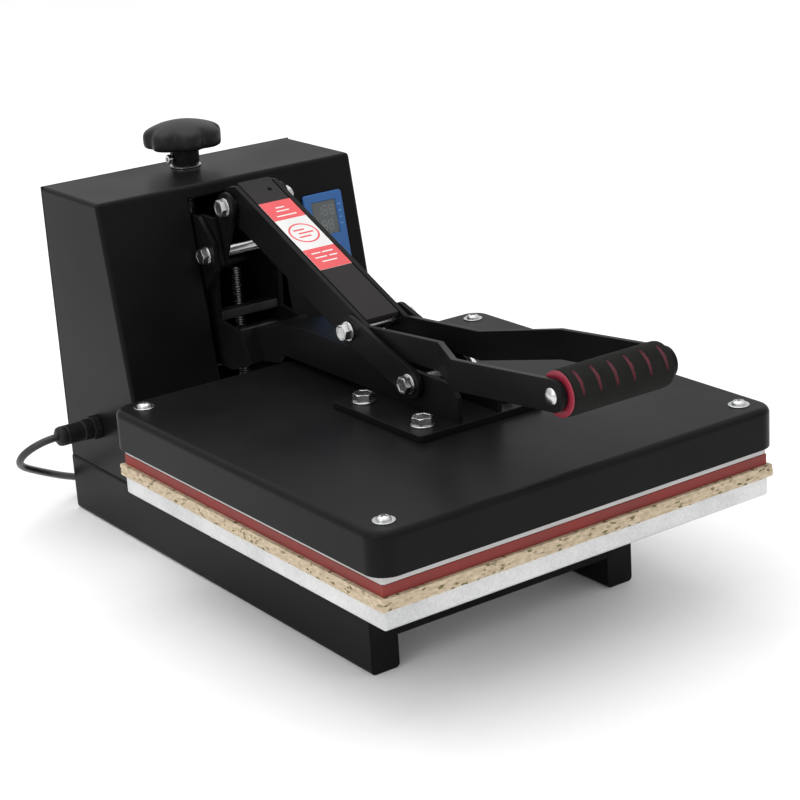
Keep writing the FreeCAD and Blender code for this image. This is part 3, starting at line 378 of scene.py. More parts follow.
# %% Breaking the edges of the metal pieces
def broken_edges(node, width, steps=2):
    piece = bpy.data.objects.new(node + "_finished", frame["nodes"][node].data.copy())
    bpy.context.scene.collection.objects.link(piece)
    edit(piece)
    bpy.ops.mesh.remove_doubles(threshold=0.00001)
    bpy.ops.mesh.dissolve_limited(angle_limit=math.radians(0.8))
    leave()
    soften(piece, width, steps)
    return hang(piece, body_with[node], slot_of[node], node)


edge_widths = {
    0.9: ["base_rail_left", "base_rail_right", "housing_shell", "control_panel_bezel"],
    0.6: ["platen_cover", "lower_tray", "bracket_plate", "heating_plate", "housing_rear_cover",
          "base_front_cross_member", "lever_top_plate", "fork_bar_left", "fork_bar_right"],
    0.45: ["arm_side_left", "arm_side_right", "arm_cross_plates", "lever_side_left", "lever_side_right",
           "link_plates", "rocker_plates", "upright_left", "upright_right", "screw_bearing_block",
           "power_switch_body", "display_window"],
    0.3: ["arm_cross_bars", "grip_rod", "upright_tie_bars", "power_switch_rocker", "trunnion_nut"],
}
for width, names in edge_widths.items():
    for name in names:
        broken_edges(name, width)
    print(width, "mm edges on", len(names), "pieces")

# %% [markdown]
# Knobs, screws, glands and grips are all turned shapes, as on a lathe. One point is pulled out
# into a profile with the extrude operator, and spin carries it round the axis. Modelling each
# small part once, upright at the origin, and copying it to its seat is how hardware is drawn.

# %% The lathe and the copy to a seat
def turned(name, profile, steps=48):
    """A closed shape from (radius, height) pairs in millimetres, turned about Z at the origin."""
    bpy.ops.mesh.primitive_plane_add(size=1 * MM)
    piece = bpy.context.active_object
    piece.name = piece.data.name = name
    edit(piece)
    bpy.ops.mesh.merge(type="CENTER")
    at = Vector((profile[0][0], 0, profile[0][1])) * MM
    bpy.ops.transform.translate(value=at)
    for radius, height in profile[1:]:
        to = Vector((radius, 0, height)) * MM
        bpy.ops.mesh.extrude_vertices_move(TRANSFORM_OT_translate={"value": to - at})
        at = to
    bpy.ops.mesh.select_all(action="SELECT")
    bpy.ops.mesh.spin(steps=steps, angle=2 * math.pi, center=(0, 0, 0), axis=(0, 0, 1))
    bpy.ops.mesh.select_all(action="SELECT")
    bpy.ops.mesh.remove_doubles(threshold=0.000005)
    bpy.ops.mesh.normals_make_consistent(inside=False)
    leave()
    return piece


def seated(master, at, along, turn=0.0):
    """A copy of an upright master with its own mesh, standing at a point along a direction."""
    piece = bpy.data.objects.new(master.name, master.data.copy())
    bpy.context.scene.collection.objects.link(piece)
    lean = Vector((0, 0, 1)).rotation_difference(Vector(along)).to_matrix().to_4x4()
    piece.data.transform(Matrix.Translation(Vector(at) * MM) @ lean @ Matrix.Rotation(turn, 4, "Z"))
    return piece


def joined(name, pieces):
    only(pieces[0])
    for piece in pieces[1:]:
        piece.select_set(True)
    bpy.ops.object.join()
    pieces[0].name = pieces[0].data.name = name
    return pieces[0]


def box(name, x0, x1, y0, y1, z0, z1):
    """A block between two corners, in millimetres, with its place in its mesh."""
    bpy.ops.mesh.primitive_cube_add(size=1 * MM, location=Vector((x0 + x1, y0 + y1, z0 + z1)) * MM / 2,
                                    scale=(x1 - x0, y1 - y0, z1 - z0))
    piece = bpy.context.active_object
    piece.name = piece.data.name = name
    only(piece)
    bpy.ops.object.transform_apply(location=True, rotation=True, scale=True)
    return piece


# %% [markdown]
# An M10 hexagon head is a six-sided prism whose top corners are turned off at 30 degrees, which
# leaves a round face. The prism is inset and dished on top, and a turned shape cuts the corners
# with a Boolean, as the lathe does. A cross-recessed pan head is a low dome with a cross cut
# into it the same way. Both are made once and seated wherever one shows.

# %% The masters: hexagon head, washer, threaded end, pan head
bpy.ops.mesh.primitive_cylinder_add(vertices=6, radius=8 / math.cos(math.pi / 6) * MM, depth=6.4 * MM,
                                    location=(0, 0, 3.2 * MM))
hex_head = bpy.context.active_object
hex_head.name = "hex_head"
only(hex_head)
bpy.ops.object.transform_apply(location=True, rotation=True, scale=True)
edit(hex_head)
pick_faces(hex_head, lambda middle, normal: normal.z > 0.9)
bpy.ops.mesh.inset(thickness=2.2 * MM)
bpy.ops.mesh.inset(thickness=0.4 * MM, depth=-0.35 * MM)
leave()
chamfer = turned("chamfer", [(0, -1), (10.2, -1), (10.2, 5.2), (7.6, 6.5), (0, 6.5)])
apply(hex_head, "BOOLEAN", operation="INTERSECT", solver="EXACT", object=chamfer)
soften(hex_head, 0.15, 1)
washer = turned("washer", [(5.2, 0), (9.7, 0), (10, 0.3), (10, 1.2), (9.7, 1.5), (5.2, 1.5), (5.2, 0)])
soften(washer, 0)
thread = [(0, -0.4)]
for k in range(4):
    thread += [(4.95, k * 0.55 - 0.4), (4.45, k * 0.55 - 0.12)]
stub = turned("stub", thread + [(4.2, 2.0), (0, 2.0)], 32)
soften(stub, 0)
pan_head = turned("pan_head", [(0, 1), (0.45, 0.97), (0.78, 0.78), (0.94, 0.5), (1, 0.18), (1, 0), (0, 0)], 32)
cross = joined("cross", [box("bar", -0.55, 0.55, -0.12, 0.12, 0.45, 1.3),
                         box("bar", -0.12, 0.12, -0.55, 0.55, 0.42, 1.31)])
apply(pan_head, "BOOLEAN", operation="DIFFERENCE", solver="EXACT", object=cross, use_self=True)
soften(pan_head, 0)
print("hexagon head", [round(v / MM, 2) for v in hex_head.dimensions], "mm")


def pan_screw(at, along, radius, height, turn=0.3):
    piece = seated(pan_head, (0, 0, 0), (0, 0, 1), turn)
    piece.data.transform(Matrix.Diagonal((radius, radius, height, 1)))
    lean = Vector((0, 0, 1)).rotation_difference(Vector(along)).to_matrix().to_4x4()
    piece.data.transform(Matrix.Translation(Vector(at) * MM) @ lean)
    return piece


# %% [markdown]
# Four cross bolts carry the moving parts, each with a washer and head on the left, a nut on the
# right and a plain shank between. The two short bolts at the end of the links have a head on
# each side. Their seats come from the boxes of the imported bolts.

# %% The pivot bolts
def cross_bolt(node, seat, turn):
    low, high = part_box(node)
    y, z = (low.y + high.y) / 2 / MM, (low.z + high.z) / 2 / MM
    parts = [seated(turned("shank", [(0, -seat - 0.2), (5, -seat - 0.2), (5, seat + 0.2), (0, seat + 0.2)], 32),
                    (0, y, z), (1, 0, 0))]
    for side in (-1, 1):
        for master, out, spin in ((washer, 0, 0), (hex_head, 1.5, turn + side * 0.2)):
            shown = seated(master, (0, 0, 0), (0, 0, 1), spin)
            shown.data.transform(Matrix.Diagonal((0.84, 0.84, 1, 1)))
            parts.append(seated(shown, (side * (seat + out), y, z), (side, 0, 0)))
    parts.append(seated(stub, (seat + 1.5 + 6.3, y, z), (1, 0, 0)))
    piece = joined(node + "_set", parts)
    return hang(piece, body_with[node], slot_of[node], node)


for node, seat, turn in (("main_bolt", 41, 0.3), ("lever_pivot_bolt", 30, 0.1), ("link_pivot_bolt", 28.8, 0.5),
                         ("link_end_bolts", 28.5, 0.2)):
    bolt = cross_bolt(node, seat, turn)
    print(node, "reaches", [round(v / MM, 1) for v in bolt.dimensions])

# %% The bracket bolts and the screws
parts = []
for k, (x, y) in enumerate([(-44, -131), (44, -131), (-44, -49), (44, -49)]):
    parts += [seated(washer, (x, y, 175.5), (0, 0, 1)), seated(hex_head, (x, y, 177), (0, 0, 1), 0.2 + 0.37 * k)]
hang(joined("bracket_bolt_set", parts), "upper_platen", "zinc", "bracket_bolts")

corners = [(sx * 174.5, -86.5 + sy * 174.5) for sx in (-1, 1) for sy in (-1, 1)]
parts = []
for k, (x, y) in enumerate(corners):
    ring = seated(washer, (0, 0, 0), (0, 0, 1))
    ring.data.transform(Matrix.Translation(Vector((x, y, 169.5)) * MM) @ Matrix.Diagonal((0.87, 0.87, 0.6, 1)))
    parts += [ring, pan_screw((x, y, 170.3), (0, 0, 1), 5.8, 3.5, 0.4 + k)]
hang(joined("cover_screw_set", parts), "upper_platen", "zinc", "cover_screws")


def domes(node, radius, height, along, name):
    """Pan heads in place of the plain domes of a node: one for each of its loose solids."""
    rough_copy = bpy.data.objects.new("rough", frame["nodes"][node].data.copy())
    bpy.context.scene.collection.objects.link(rough_copy)
    edit(rough_copy)
    bpy.ops.mesh.remove_doubles(threshold=0.00001)
    bpy.ops.mesh.separate(type="LOOSE")
    leave()
    heads = []
    for k, solid in enumerate(list(bpy.context.selected_objects)):
        points = [v.co for v in solid.data.vertices]
        middle = sum(points, Vector()) / len(points)
        direction = Vector(along(middle))
        foot = min(p.dot(direction) for p in points)
        seat = middle + direction * (foot - middle.dot(direction))
        heads.append(pan_screw(seat / MM, direction, radius, height, 0.5 + 0.9 * k))
        bpy.data.objects.remove(solid)
    return hang(joined(name, heads), body_with[node], slot_of[node], node)


domes("housing_screws", 4, 1.8, lambda middle: (0, 1, 0), "housing_screw_set")

# %% [markdown]
# The board under the pad is sawn chipboard. Its four edges show, and a sawn edge is ragged, so
# only the side walls are cut into small faces. Each vertex of a wall is moved in or out by up to
# half a millimetre of smooth noise, and the top and bottom are closed again as flat faces.

# %% The chipboard
low, high = (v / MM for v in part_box("press_board"))
press_board = box("press_board_sawn", low.x, high.x, low.y, high.y, low.z, high.z)
edit(press_board)
pick_faces(press_board, lambda middle, normal: abs(normal.z) > 0.5)
bpy.ops.mesh.delete(type="ONLY_FACE")
bpy.ops.mesh.select_mode(type="EDGE")
for upright, cuts in ((True, 5), (False, 150)):
    bpy.ops.mesh.select_all(action="DESELECT")
    shape = bmesh.from_edit_mesh(press_board.data)
    for edge in shape.edges:
        run = edge.verts[0].co - edge.verts[1].co
        edge.select_set((abs(run.z) > 0.001) == upright)
    bmesh.update_edit_mesh(press_board.data)
    bpy.ops.mesh.subdivide(number_cuts=cuts)
shape = bmesh.from_edit_mesh(press_board.data)
middle = Vector(((low.x + high.x) / 2, (low.y + high.y) / 2, 0)) * MM
for vertex in shape.verts:
    ragged = noise.noise(vertex.co * 260) * 0.55 + noise.noise(vertex.co * 900) * 0.35 - 0.25
    ragged -= 0.3 if vertex.co.z > (high.z - 0.5) * MM or vertex.co.z < (low.z + 0.5) * MM else 0
    away = vertex.co - middle
    step = Vector((math.copysign(1, away.x) if abs(away.x) > abs(away.y) - 0.0003 else 0,
                   math.copysign(1, away.y) if abs(away.y) > abs(away.x) - 0.0003 else 0, 0))
    vertex.co += step * ragged * MM
bmesh.update_edit_mesh(press_board.data)
bpy.ops.mesh.select_all(action="DESELECT")
bpy.ops.mesh.select_mode(type="EDGE")
bpy.ops.mesh.select_non_manifold()
bpy.ops.mesh.edge_face_add()
bpy.ops.mesh.select_all(action="SELECT")
bpy.ops.mesh.normals_make_consistent(inside=False)
leave()
only(press_board)
bpy.ops.object.shade_smooth_by_angle(angle=math.radians(30))
hang(press_board, "frame", "chipboard", "press_board")
print("board faces", len(press_board.data.polygons))

# %% [markdown]
# The pad on the board is a 9.5 mm sheet of red silicone sponge. Its rim is cut with a blade and
# swells a little, so the sides are rounded out, and its top is just uneven enough to break up
# the light where the plate has pressed it.

# %% The silicone pad
low, high = (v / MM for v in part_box("silicone_pad"))
pad = box("silicone_pad_soft", low.x + 0.2, high.x - 0.2, low.y + 0.2, high.y - 0.2, low.z, high.z - 0.1)
edit(pad)
bpy.ops.mesh.subdivide(number_cuts=24)
leave()
apply(pad, "BEVEL", width=1.8 * MM, segments=3, limit_method="ANGLE", angle_limit=math.radians(40))
edit(pad)
shape = bmesh.from_edit_mesh(pad.data)
for vertex in shape.verts:
    if vertex.co.z > (high.z - 0.3) * MM:
        vertex.co.z -= (0.12 + 0.12 * noise.noise(vertex.co * 22)) * MM
bmesh.update_edit_mesh(pad.data)
leave()
soften(pad, 0)
hang(pad, "frame", "red_silicone", "silicone_pad")

# %% [markdown]
# The grip is a foam sleeve on a steel rod between two red end discs. Six shallow slots across its
# upper front let the fingers hold it, and they show the red core beneath as thin crescents. The
# sleeve is turned with closely spaced rings of points at every slot, and then the bottom of each
# slot is pressed in on the upper front only, deepest in the middle and fading out to each side.

# %% The foam grip
GRIP_Y, GRIP_Z = -308.5, 245.0
slots = [-40, -24, -8, 8, 24, 40]
profile = [(0, -48.3), (15.2, -48.3), (16.6, -48.0), (17.5, -47.2), (17.8, -46)]
for x in slots:
    profile += [(17.95, x + 0.25 * step) for step in range(-8, 9)]
profile += [(17.8, 46), (17.5, 47.2), (16.6, 48.0), (15.2, 48.3), (0, 48.3)]
grip = turned("foam_sleeve", profile, 220)
grip.data.transform(Matrix.Translation(Vector((0, GRIP_Y, GRIP_Z)) * MM)
                    @ Vector((0, 0, 1)).rotation_difference(Vector((1, 0, 0))).to_matrix().to_4x4())
grip.data.materials.append(finishes["foam"])
grip.data.materials.append(finishes["groove_red"])
upper_front = Vector((0, -0.78, 0.62)).normalized()
centre = Vector((0, GRIP_Y, GRIP_Z)) * MM


def in_slot(point):
    """0 outside the lens-shaped slots, rising to 1 at the middle of one."""
    away = point - centre
    offset = min(abs(away.x / MM - x) for x in slots)
    away.x = 0
    if away.length < 0.01:
        return 0
    wide = 1.45 * math.sqrt(max(0, 1 - (away.angle(upper_front) / 0.68) ** 2))
    return max(0, 1 - (offset / wide) ** 2) if wide > 0.2 else 0


edit(grip)
shape = bmesh.from_edit_mesh(grip.data)
for face in shape.faces:
    face.material_index = 1 if in_slot(face.calc_center_median()) > 0.05 else 0
for vertex in shape.verts:
    depth = in_slot(vertex.co)
    if depth:
        away = vertex.co - centre
        away.x = 0
        vertex.co -= away.normalized() * 1.5 * depth * MM
bmesh.update_edit_mesh(grip.data)
leave()
only(grip)
bpy.ops.object.shade_smooth_by_angle(angle=math.radians(50))
hang(grip, "lever", "foam", "foam_grip")

for side, reach in ((-1, 17.4), (1, 14.6)):
    red_disc = turned("red_disc", [(0, 0), (reach - 0.6, 0), (reach, 0.3), (reach, 0.8), (reach - 0.6, 1.1),
                                   (reach - 3.8, 1.1), (reach - 4.4, 0.8), (0, 0.8)], 64)
    soften(red_disc, 0)
    disc = seated(red_disc, (side * 48.3, GRIP_Y, GRIP_Z), (side, 0, 0))
    disc.name = "grip_end_disc_" + ("left" if side < 0 else "right")
    hang(disc, "lever", "foam", look="grip_red")

# %% [markdown]
# The pressure knob is a moulded star with seven soft lobes, a domed crown and a short neck with a
# set screw. It starts as a turned shape. Then each point is moved in or out by how far round it
# stands, strongly at the rim and not at all at the neck and crown, and one subdivision smooths it.

# %% The star knob
KNOB_Y = (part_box("star_knob")[0].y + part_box("star_knob")[1].y) / 2 / MM
knob = turned("star_knob_moulded", [
    (0, 318.6), (13, 318.6), (13.5, 319.1), (13.5, 333.4), (14.4, 334.6), (22, 335.1), (33, 335.4), (36.2, 336.8),
    (37.3, 339), (37.4, 346), (36.8, 349), (35.2, 351.3), (32, 353.4), (27, 355.4), (22, 356.9), (16, 358.4),
    (10, 359.4), (5, 359.9), (0, 360)], 112)
edit(knob)
shape = bmesh.from_edit_mesh(knob.data)
for vertex in shape.verts:
    out = Vector((vertex.co.x, vertex.co.y, 0))
    reach = out.length / MM
    share = eased(reach, 25, 36)
    dip = (0.5 - 0.5 * math.cos(7 * math.atan2(out.y, out.x) + 0.6)) ** 2
    vertex.co -= out * (0.14 * dip * share)
bmesh.update_edit_mesh(knob.data)
leave()
knob.data.transform(Matrix.Translation(Vector((0, KNOB_Y, 0)) * MM))
apply(knob, "SUBSURF", levels=1, render_levels=1)
only(knob)
bpy.ops.object.shade_smooth_by_angle(angle=math.radians(50))
hang(knob, "pressure_knob", "knob_plastic", "star_knob")
set_screw = turned("set_screw", [(0, -2), (2, -2), (2, 1.4), (4.1, 1.6), (4.4, 2.2), (4.4, 4.6), (3.8, 5.4),
                                 (1.8, 5.4), (1.8, 4.0), (0, 4.0)], 28)
set_screw = seated(set_screw, (-13.5, KNOB_Y, 325.5), (-1, 0, 0))
soften(set_screw, 0)
hang(set_screw, "pressure_knob", "zinc")
print("knob is", [round(v / MM, 1) for v in knob.dimensions], "mm")

# %% [markdown]
# The pressure screw is an M12 rod that only shows between the knob and the bearing block, where
# it carries a light washer. Its thread is a turned row of ridges, close enough to a helix at
# this size.

# %% The pressure screw
low, high = (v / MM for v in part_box("pressure_screw"))
ridges, height = [(0, low.z), (5.4, low.z)], low.z + 0.9
while height < 300:
    ridges += [(5.95, height), (5.35, height + 0.87)]
    height += 1.75
ridges += [(5.95, 301), (5.95, 316.3), (14.2, 316.3), (14.6, 316.7), (14.6, 317.6), (14.2, 318), (5.95, 318),
           (5.95, high.z), (0, high.z)]
screw = turned("pressure_screw_threaded", ridges, 40)
screw.data.transform(Matrix.Translation(Vector((0, KNOB_Y, 0)) * MM))
soften(screw, 0)
hang(screw, "pressure_knob", slot_of["pressure_screw"], "pressure_screw")

# %% [markdown]
# Two close-wound extension springs pull the tail of the arms down and so lift the platen. A small
# circle of wire is carried up a helix by the Screw modifier. They get shorter as the platen
# rises.

# %% The lift springs
low, high = (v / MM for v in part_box("lift_springs"))
springs = []
for side in (-1, 1):
    bpy.ops.mesh.primitive_circle_add(vertices=7, radius=0.78 * MM, location=(4.7 * MM, 0, 0),
                                      rotation=(math.pi / 2, 0, 0))
    coil = bpy.context.active_object
    only(coil)
    bpy.ops.object.transform_apply(location=True, rotation=True, scale=True)
    pitch, length = 2.3, high.z - low.z - 2.4
    apply(coil, "SCREW", axis="Z", angle=2 * math.pi, screw_offset=pitch * MM, iterations=int(length / pitch),
          steps=14, render_steps=14, use_merge_vertices=True, merge_threshold=0.00001)
    coil.data.transform(Matrix.Translation(Vector((side * 19, (low.y + high.y) / 2, low.z + 1)) * MM))
    edit(coil, "DESELECT")
    bpy.ops.mesh.select_mode(type="EDGE")
    bpy.ops.mesh.select_non_manifold()
    bpy.ops.mesh.edge_face_add()
    bpy.ops.mesh.select_all(action="SELECT")
    bpy.ops.mesh.normals_make_consistent(inside=False)
    leave()
    springs.append(coil)
spring_pair = joined("spring_pair", springs)
only(spring_pair)
bpy.ops.object.shade_smooth()
hang(spring_pair, "frame", "spring_steel", "lift_springs")
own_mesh(spring_pair)
print("springs stand from", round(low.z, 1), "to", round(high.z, 1), "mm")

# %% [markdown]
# The gland holds the lead where it leaves the housing: a hexagon nut against the wall, then a thick
# round clamp that is gripped by its ribs and cut with rings near its domed end so that it can
# flex. All of it is turned along the lead, apart from the nut.

# %% The cable gland
low, high = (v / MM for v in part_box("cable_gland"))
gy, gz = (low.y + high.y) / 2, (low.z + high.z) / 2
wall = -135.0
bpy.ops.mesh.primitive_cylinder_add(vertices=6, radius=(high.z - low.z) / 2 * MM, depth=8 * MM,
                                    location=Vector((wall - 4.2, gy, gz)) * MM, rotation=(0, math.pi / 2, 0))
nut = bpy.context.active_object
only(nut)
bpy.ops.object.transform_apply(location=True, rotation=True, scale=True)
soften(nut, 0.8, 3)
rings = [(0, 0), (9.3, 0), (9.7, 0.5), (9.7, 8.4), (9.3, 9)]
for k in range(7):
    r = 9.55 - 0.06 * k
    rings += [(r - 0.8, 9.6 + 2.3 * k), (r - 0.8, 10.1 + 2.3 * k), (r, 10.4 + 2.3 * k), (r, 11.6 + 2.3 * k)]
cap = turned("cap", rings + [(8.8, 26.2), (9.2, 27), (9.2, 30.6), (8.5, 33), (6.6, 34.5), (4.2, 34.8),
                             (3.6, 34.8), (0, 34.8)], 60)
edit(cap)
pick_faces(cap, lambda middle, normal: 0.001 < middle.z < 0.008 and int((math.atan2(middle.y, middle.x) + math.pi)
                                                                       / math.tau * 60) % 3 == 0)
bpy.ops.mesh.inset(thickness=0.15 * MM, depth=-0.5 * MM)
leave()
soften(cap, 0)
gland = joined("cable_gland_ribbed", [nut, seated(cap, (wall - 8.1, gy, gz), (-1, 0, 0)),
                                      seated(turned("barrel", [(0, 0), (7.6, 0), (7.6, 14), (0, 14)], 40),
                                             (wall + 12, gy, gz), (-1, 0, 0))])
hang(gland, "frame", "gland_plastic", "cable_gland")

# %% [markdown]
# The plug is a moulded body with finger ribs. It is a block narrowed towards the lead with a
# scaled end face, rounded all over, with three low ribs on each side, two blades and a pin.

# %% The mains plug
end, before = Vector(lead_out[-1]), Vector(lead_out[-2])
axis = Vector((end.x - before.x, end.y - before.y, 0)).normalized()
body = box("plug_body", 12, 46, -13, 13, -11.8, 9.8)
edit(body)
pick_faces(body, lambda middle, normal: normal.x < -0.9)
bpy.ops.transform.resize(value=(1, 0.72, 0.72))
leave()
soften(body, 3.5, 4)
relief = seated(turned("plug_relief", [(0, -3), (4.4, -3), (5, 0), (5.6, 4), (5.1, 4.4), (5.1, 5.4), (6.2, 5.8),
                                       (6.6, 9), (6.1, 9.4), (6.1, 10.4), (7.2, 10.8), (7.6, 16), (0, 16)], 36),
                (0, 0, -4.5), (1, 0, 0))
soften(relief, 0)
ribs = []
for k in range(3):
    for side in (-1, 1):
        rib = box("rib", 24 + 6 * k, 26 + 6 * k, side * 12.1 - 0.8, side * 12.1 + 0.8, -7, 5)
        soften(rib, 0.5, 2)
        ribs.append(rib)
blades = [box("blade", 45, 64, s * 6.5 - 0.75, s * 6.5 + 0.75, -4, 2.5) for s in (-1, 1)]
blades.append(seated(turned("earth", [(0, 0), (2.4, 0), (2.4, 19), (1.6, 21), (0, 21)], 24), (45, 0, 5), (1, 0, 0)))
for blade in blades:
    soften(blade, 0.3, 2)
stand = (Matrix.Translation(Vector((end.x, end.y, 13.5)) * MM)
         @ Vector((1, 0, 0)).rotation_difference(axis).to_matrix().to_4x4())
plug = joined("mains_plug_moulded", [body, relief] + ribs)
pins = joined("mains_plug_pins", blades)
for piece in (plug, pins):
    piece.data.transform(stand)
hang(plug, "frame", "cord_rubber", "mains_plug")
hang(pins, "frame", "zinc")

# %% [markdown]
# The control panel lies on the slanted front of the housing. Anything on it is easiest to place
# with two sideways measures and one outwards: x across, v up the slant and w proud of it. A
# small matrix turns those into the press's own frame.

# %% The slant, and flat shapes on it
slant = math.atan2(216.5 - 170.5, 316 - 56)
on_front = Matrix.Translation(Vector((0, 170.5, 56)) * MM) @ Matrix((
    (1, 0, 0), (0, math.sin(slant), -math.cos(slant)), (0, math.cos(slant), math.sin(slant)))).to_4x4()


def up_to(z):
    """The measure up the slant to a height."""
    return (z - 56) / math.cos(slant)


def proud(node, plane):
    """How far a node's outermost point stands off a slanted plane."""
    return max((v.co - plane.translation).dot(plane.col[2].xyz) for v in frame["nodes"][node].data.vertices) / MM


def bar_on(frame_matrix, x0, x1, v0, v1, w0, w1, ease=0.0):
    piece = box("bar", x0, x1, v0, v1, w0, w1)
    if ease:
        soften(piece, ease, 3)
    piece.data.transform(frame_matrix)
    return piece


# %% [markdown]
# A seven-segment digit is seven bars. Naming them a to g, from the top round and then the middle,
# turns a digit into a short string, and a row of digits is the same bars moved along.

# %% The digits on the display
PANEL_X = 95.5
segments = {"a": (0.15, 0.85, 0.92, 1.0), "b": (0.85, 0.98, 0.54, 0.92), "c": (0.85, 0.98, 0.08, 0.46),
            "d": (0.15, 0.85, 0.0, 0.08), "e": (0.02, 0.15, 0.08, 0.46), "f": (0.02, 0.15, 0.54, 0.92),
            "g": (0.15, 0.85, 0.46, 0.54)}
face = proud("display_window", on_front)
v_top = up_to(277)
bars = []
for x, v, wide, high_, digits in ((PANEL_X - 8.5, v_top - 13.5, 5.2, 9.5, ("bc", "abcdefg", "abcdefg")),
                                  (PANEL_X - 4.5, v_top - 27.5, 5.2, 9.5, ("abcdefg", "abcdefg"))):
    for k, digit in enumerate(digits):
        for letter in digit:
            x0, x1, v0, v1 = segments[letter]
            left = x + k * (wide + 1.6)
            bars.append(bar_on(on_front, left + x0 * wide, left + x1 * wide, v + v0 * high_, v + v1 * high_,
                               face - 0.2, face + 0.08))
hang(joined("display_digits", bars), "frame", "display_grey", look="digit_glow")
print("display face stands", round(face, 2), "mm off the slant")

# %% [markdown]
# A button is a moulded cap with a shallow dish for the fingertip. It is turned and seated square
# to the slant on its own body, because each one presses in by itself. The marks beside them are
# plain dashes and crosses, cut thin.

# %% The buttons and marks
cap_profile = [(0, -3), (4.4, -3), (4.5, -2.8), (4.5, 0.7), (4.2, 1.15), (3.7, 1.3), (2.4, 1.05), (0, 0.95)]
out_of = on_front.col[2].xyz
panel_face = proud("control_panel_bezel", on_front)
for k in (1, 2, 3, 4):
    reach = proud(f"panel_button_{k}", on_front)
    low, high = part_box(f"panel_button_{k}")
    middle = (low + high) / 2
    across_v = (middle - on_front.translation).dot(on_front.col[1].xyz) / MM
    at = on_front @ (Vector((middle.x / MM, across_v, reach - 1.4)) * MM)
    button = seated(turned("cap", cap_profile, 40), at / MM, out_of)
    button.name = button.data.name = f"button_cap_{k}"
    soften(button, 0)
    hang(button, f"button_{k}", "button_grey", f"panel_button_{k}")
    mark_v = across_v + 7.2
    mark = [bar_on(on_front, middle.x / MM - 2.2, middle.x / MM + 2.2, mark_v - 0.35, mark_v + 0.35,
                   panel_face - 0.2, panel_face + 0.06)]
    if k % 2:
        mark.append(bar_on(on_front, middle.x / MM - 0.35, middle.x / MM + 0.35, mark_v - 1.6, mark_v + 1.6,
                           panel_face - 0.2, panel_face + 0.07))
    hang(joined(f"button_mark_{k}", mark), "frame", "label_print", look="mark_blue")
lamps = [bar_on(on_front, PANEL_X + 15.2, PANEL_X + 18.4, v_top - 6 - 6 * k, v_top - 4.8 - 6 * k, panel_face - 0.2,
                panel_face + 0.06) for k in range(4)]
hang(joined("panel_dashes", lamps), "frame", "label_print", look="mark_blue")

# %% [markdown]
# The label on the lever is a white film with a red field at each end. It carries no sign and no
# lettering, only a plain red ring in the middle and plain bars on the fields. Each shape is cut as a
# thin film of its own, a few hundredths of a millimetre above the one below, as layers of print.

# %% The label on the lever
climb = math.atan2(87.4, 191.5)
label_at = Vector((0, 45.5, 233.6 + (45.5 + 20) * 87.4 / 191.5))
on_lever = Matrix.Translation(label_at * MM) @ Matrix((
    (1, 0, 0), (0, math.cos(climb), -math.sin(climb)), (0, math.sin(climb), math.cos(climb)))).to_4x4()
film = proud("lever_label", on_lever)
print("label film stands", round(film, 2), "mm off the lever")
LONG, HALF = 102.5, 16.4
base = bar_on(on_lever, -HALF + 0.1, HALF - 0.1, 0.1, LONG - 0.1, film - 0.38, film - 0.03, 0.1)
base.name = base.data.name = "label_film"
hang(base, "lever", "label_print", "lever_label")


def film_disc(x, v, radius, sides, w0, w1, hole):
    """A thin ring of film, laid on the lever's slope."""
    piece = turned("film", [(hole, w0), (radius, w0), (radius, w1), (hole, w1), (hole, w0)], sides)
    piece.data.transform(on_lever @ Matrix.Translation(Vector((x, v, 0)) * MM))
    return piece


def film_bar(x, v, long, wide, w0, w1):
    """A thin bar of film about its own middle, across the lever's slope."""
    return bar_on(on_lever, x - long / 2, x + long / 2, v - wide / 2, v + wide / 2, w0, w1)


fields = [bar_on(on_lever, -HALF + 0.15, HALF - 0.15, v0, v1, film - 0.1, film)
          for v0, v1 in ((0.2, 29.5), (75, LONG - 0.2))]
fields.append(film_disc(0, 52.2, 14.0, 64, film - 0.1, film, 12.3))
fields += [film_bar(x, v, long, 2.0, film - 0.1, film + 0.01)
           for x, v, long in ((-2.5, 57.2, 11), (2, 52.2, 15), (-1.5, 47.2, 12))]
hang(joined("label_red_fields", fields), "lever", "label_print", look="label_red")
white = [film_bar(x, v, long, 1.6, film - 0.05, film + 0.04)
         for x, v, long in ((0, 92.6, 9), (0, 87.6, 13), (0, 80.6, 20), (-6.5, 22.6, 9), (5.2, 22.6, 11),
                            (-5, 16.4, 12), (7.4, 16.4, 8), (0, 10.2, 15))]
hang(joined("label_white_shapes", white), "lever", "label_print")

# %% [markdown]
# The masters and cutters were only patterns, so they leave the scene before the light is set.

# %% Clearing the bench
for thing in list(bpy.context.scene.objects):
    if thing.type == "MESH" and body_of(thing) is None:
        bpy.data.objects.remove(thing)

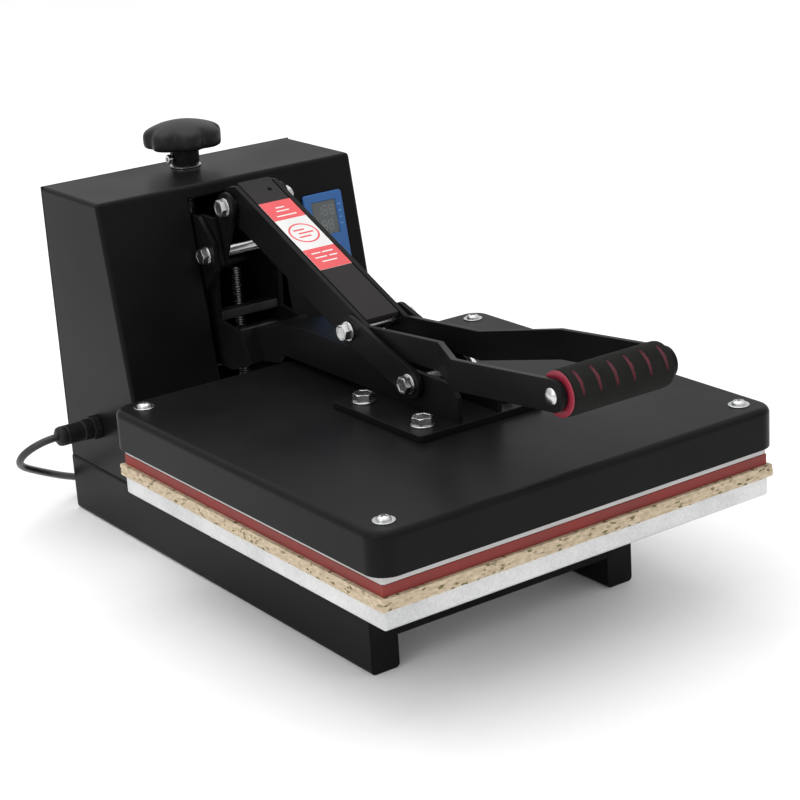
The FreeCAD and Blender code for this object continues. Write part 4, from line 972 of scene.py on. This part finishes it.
# %% [markdown]
# The press stands on a pale plain floor in soft light that falls mostly from above. Satin black
# shows such a room plainly: its tops mirror the sky low behind the press, and its sides mirror
# the floor. So the sky is bright overhead and dimmer towards the horizon, with one broad lamp
# above and a weaker one on the left.

# %% The floor and the light
bpy.ops.mesh.primitive_plane_add(size=40, location=(0, 0, 0))
floor = bpy.context.active_object
floor.name = "floor"
floor.data.materials.append(finish("floor_white", (0.90, 0.90, 0.90), (0.92, 0.92, 0.92), rough=(0.7, 0.8), grain=30,
                                   relief=0.0, patch=2, specular=0.1))


def lamp(name, at, aim, size, power, colour=(1, 1, 1)):
    light = bpy.data.lights.new(name, "AREA")
    light.energy, light.size, light.color = power, size, colour
    thing = bpy.data.objects.new(name, light)
    thing.location = at
    thing.rotation_euler = (Vector(aim) - Vector(at)).to_track_quat("-Z", "Y").to_euler()
    bpy.context.scene.collection.objects.link(thing)


lamp("overhead", (-0.3, 0.4, 2.6), (0, 0.2, 0), 2.8, 28)
lamp("left", (-2.2, -0.6, 1.3), (0, 0, 0.1), 1.4, 9)

# %% The sky
world = bpy.context.scene.world or bpy.data.worlds.new("world")
bpy.context.scene.world = world
world.use_nodes = True
sky = world.node_tree
way = sky.nodes.new("ShaderNodeTexCoord")
split = sky.nodes.new("ShaderNodeSeparateXYZ")
sky.links.new(way.outputs["Generated"], split.inputs[0])
climbing = sky.nodes.new("ShaderNodeMapRange")
for key, value in (("From Min", 0.15), ("From Max", 0.8), ("To Min", 0.62), ("To Max", 1.2)):
    climbing.inputs[key].default_value = value
sky.links.new(split.outputs["Z"], climbing.inputs["Value"])
seen = sky.nodes.new("ShaderNodeLightPath")
lit = sky.nodes.new("ShaderNodeMath")
lit.operation = "MAXIMUM"
sky.links.new(climbing.outputs["Result"], lit.inputs[0])
sky.links.new(seen.outputs["Is Camera Ray"], lit.inputs[1])
sky.nodes["Background"].inputs["Color"].default_value = (1, 1, 1, 1)
sky.links.new(lit.outputs[0], sky.nodes["Background"].inputs["Strength"])
bpy.context.scene.view_settings.view_transform = "Standard"

# %% [markdown]
# Last, the view layer is brought up to date.

# %% The last update
bpy.context.view_layer.update()
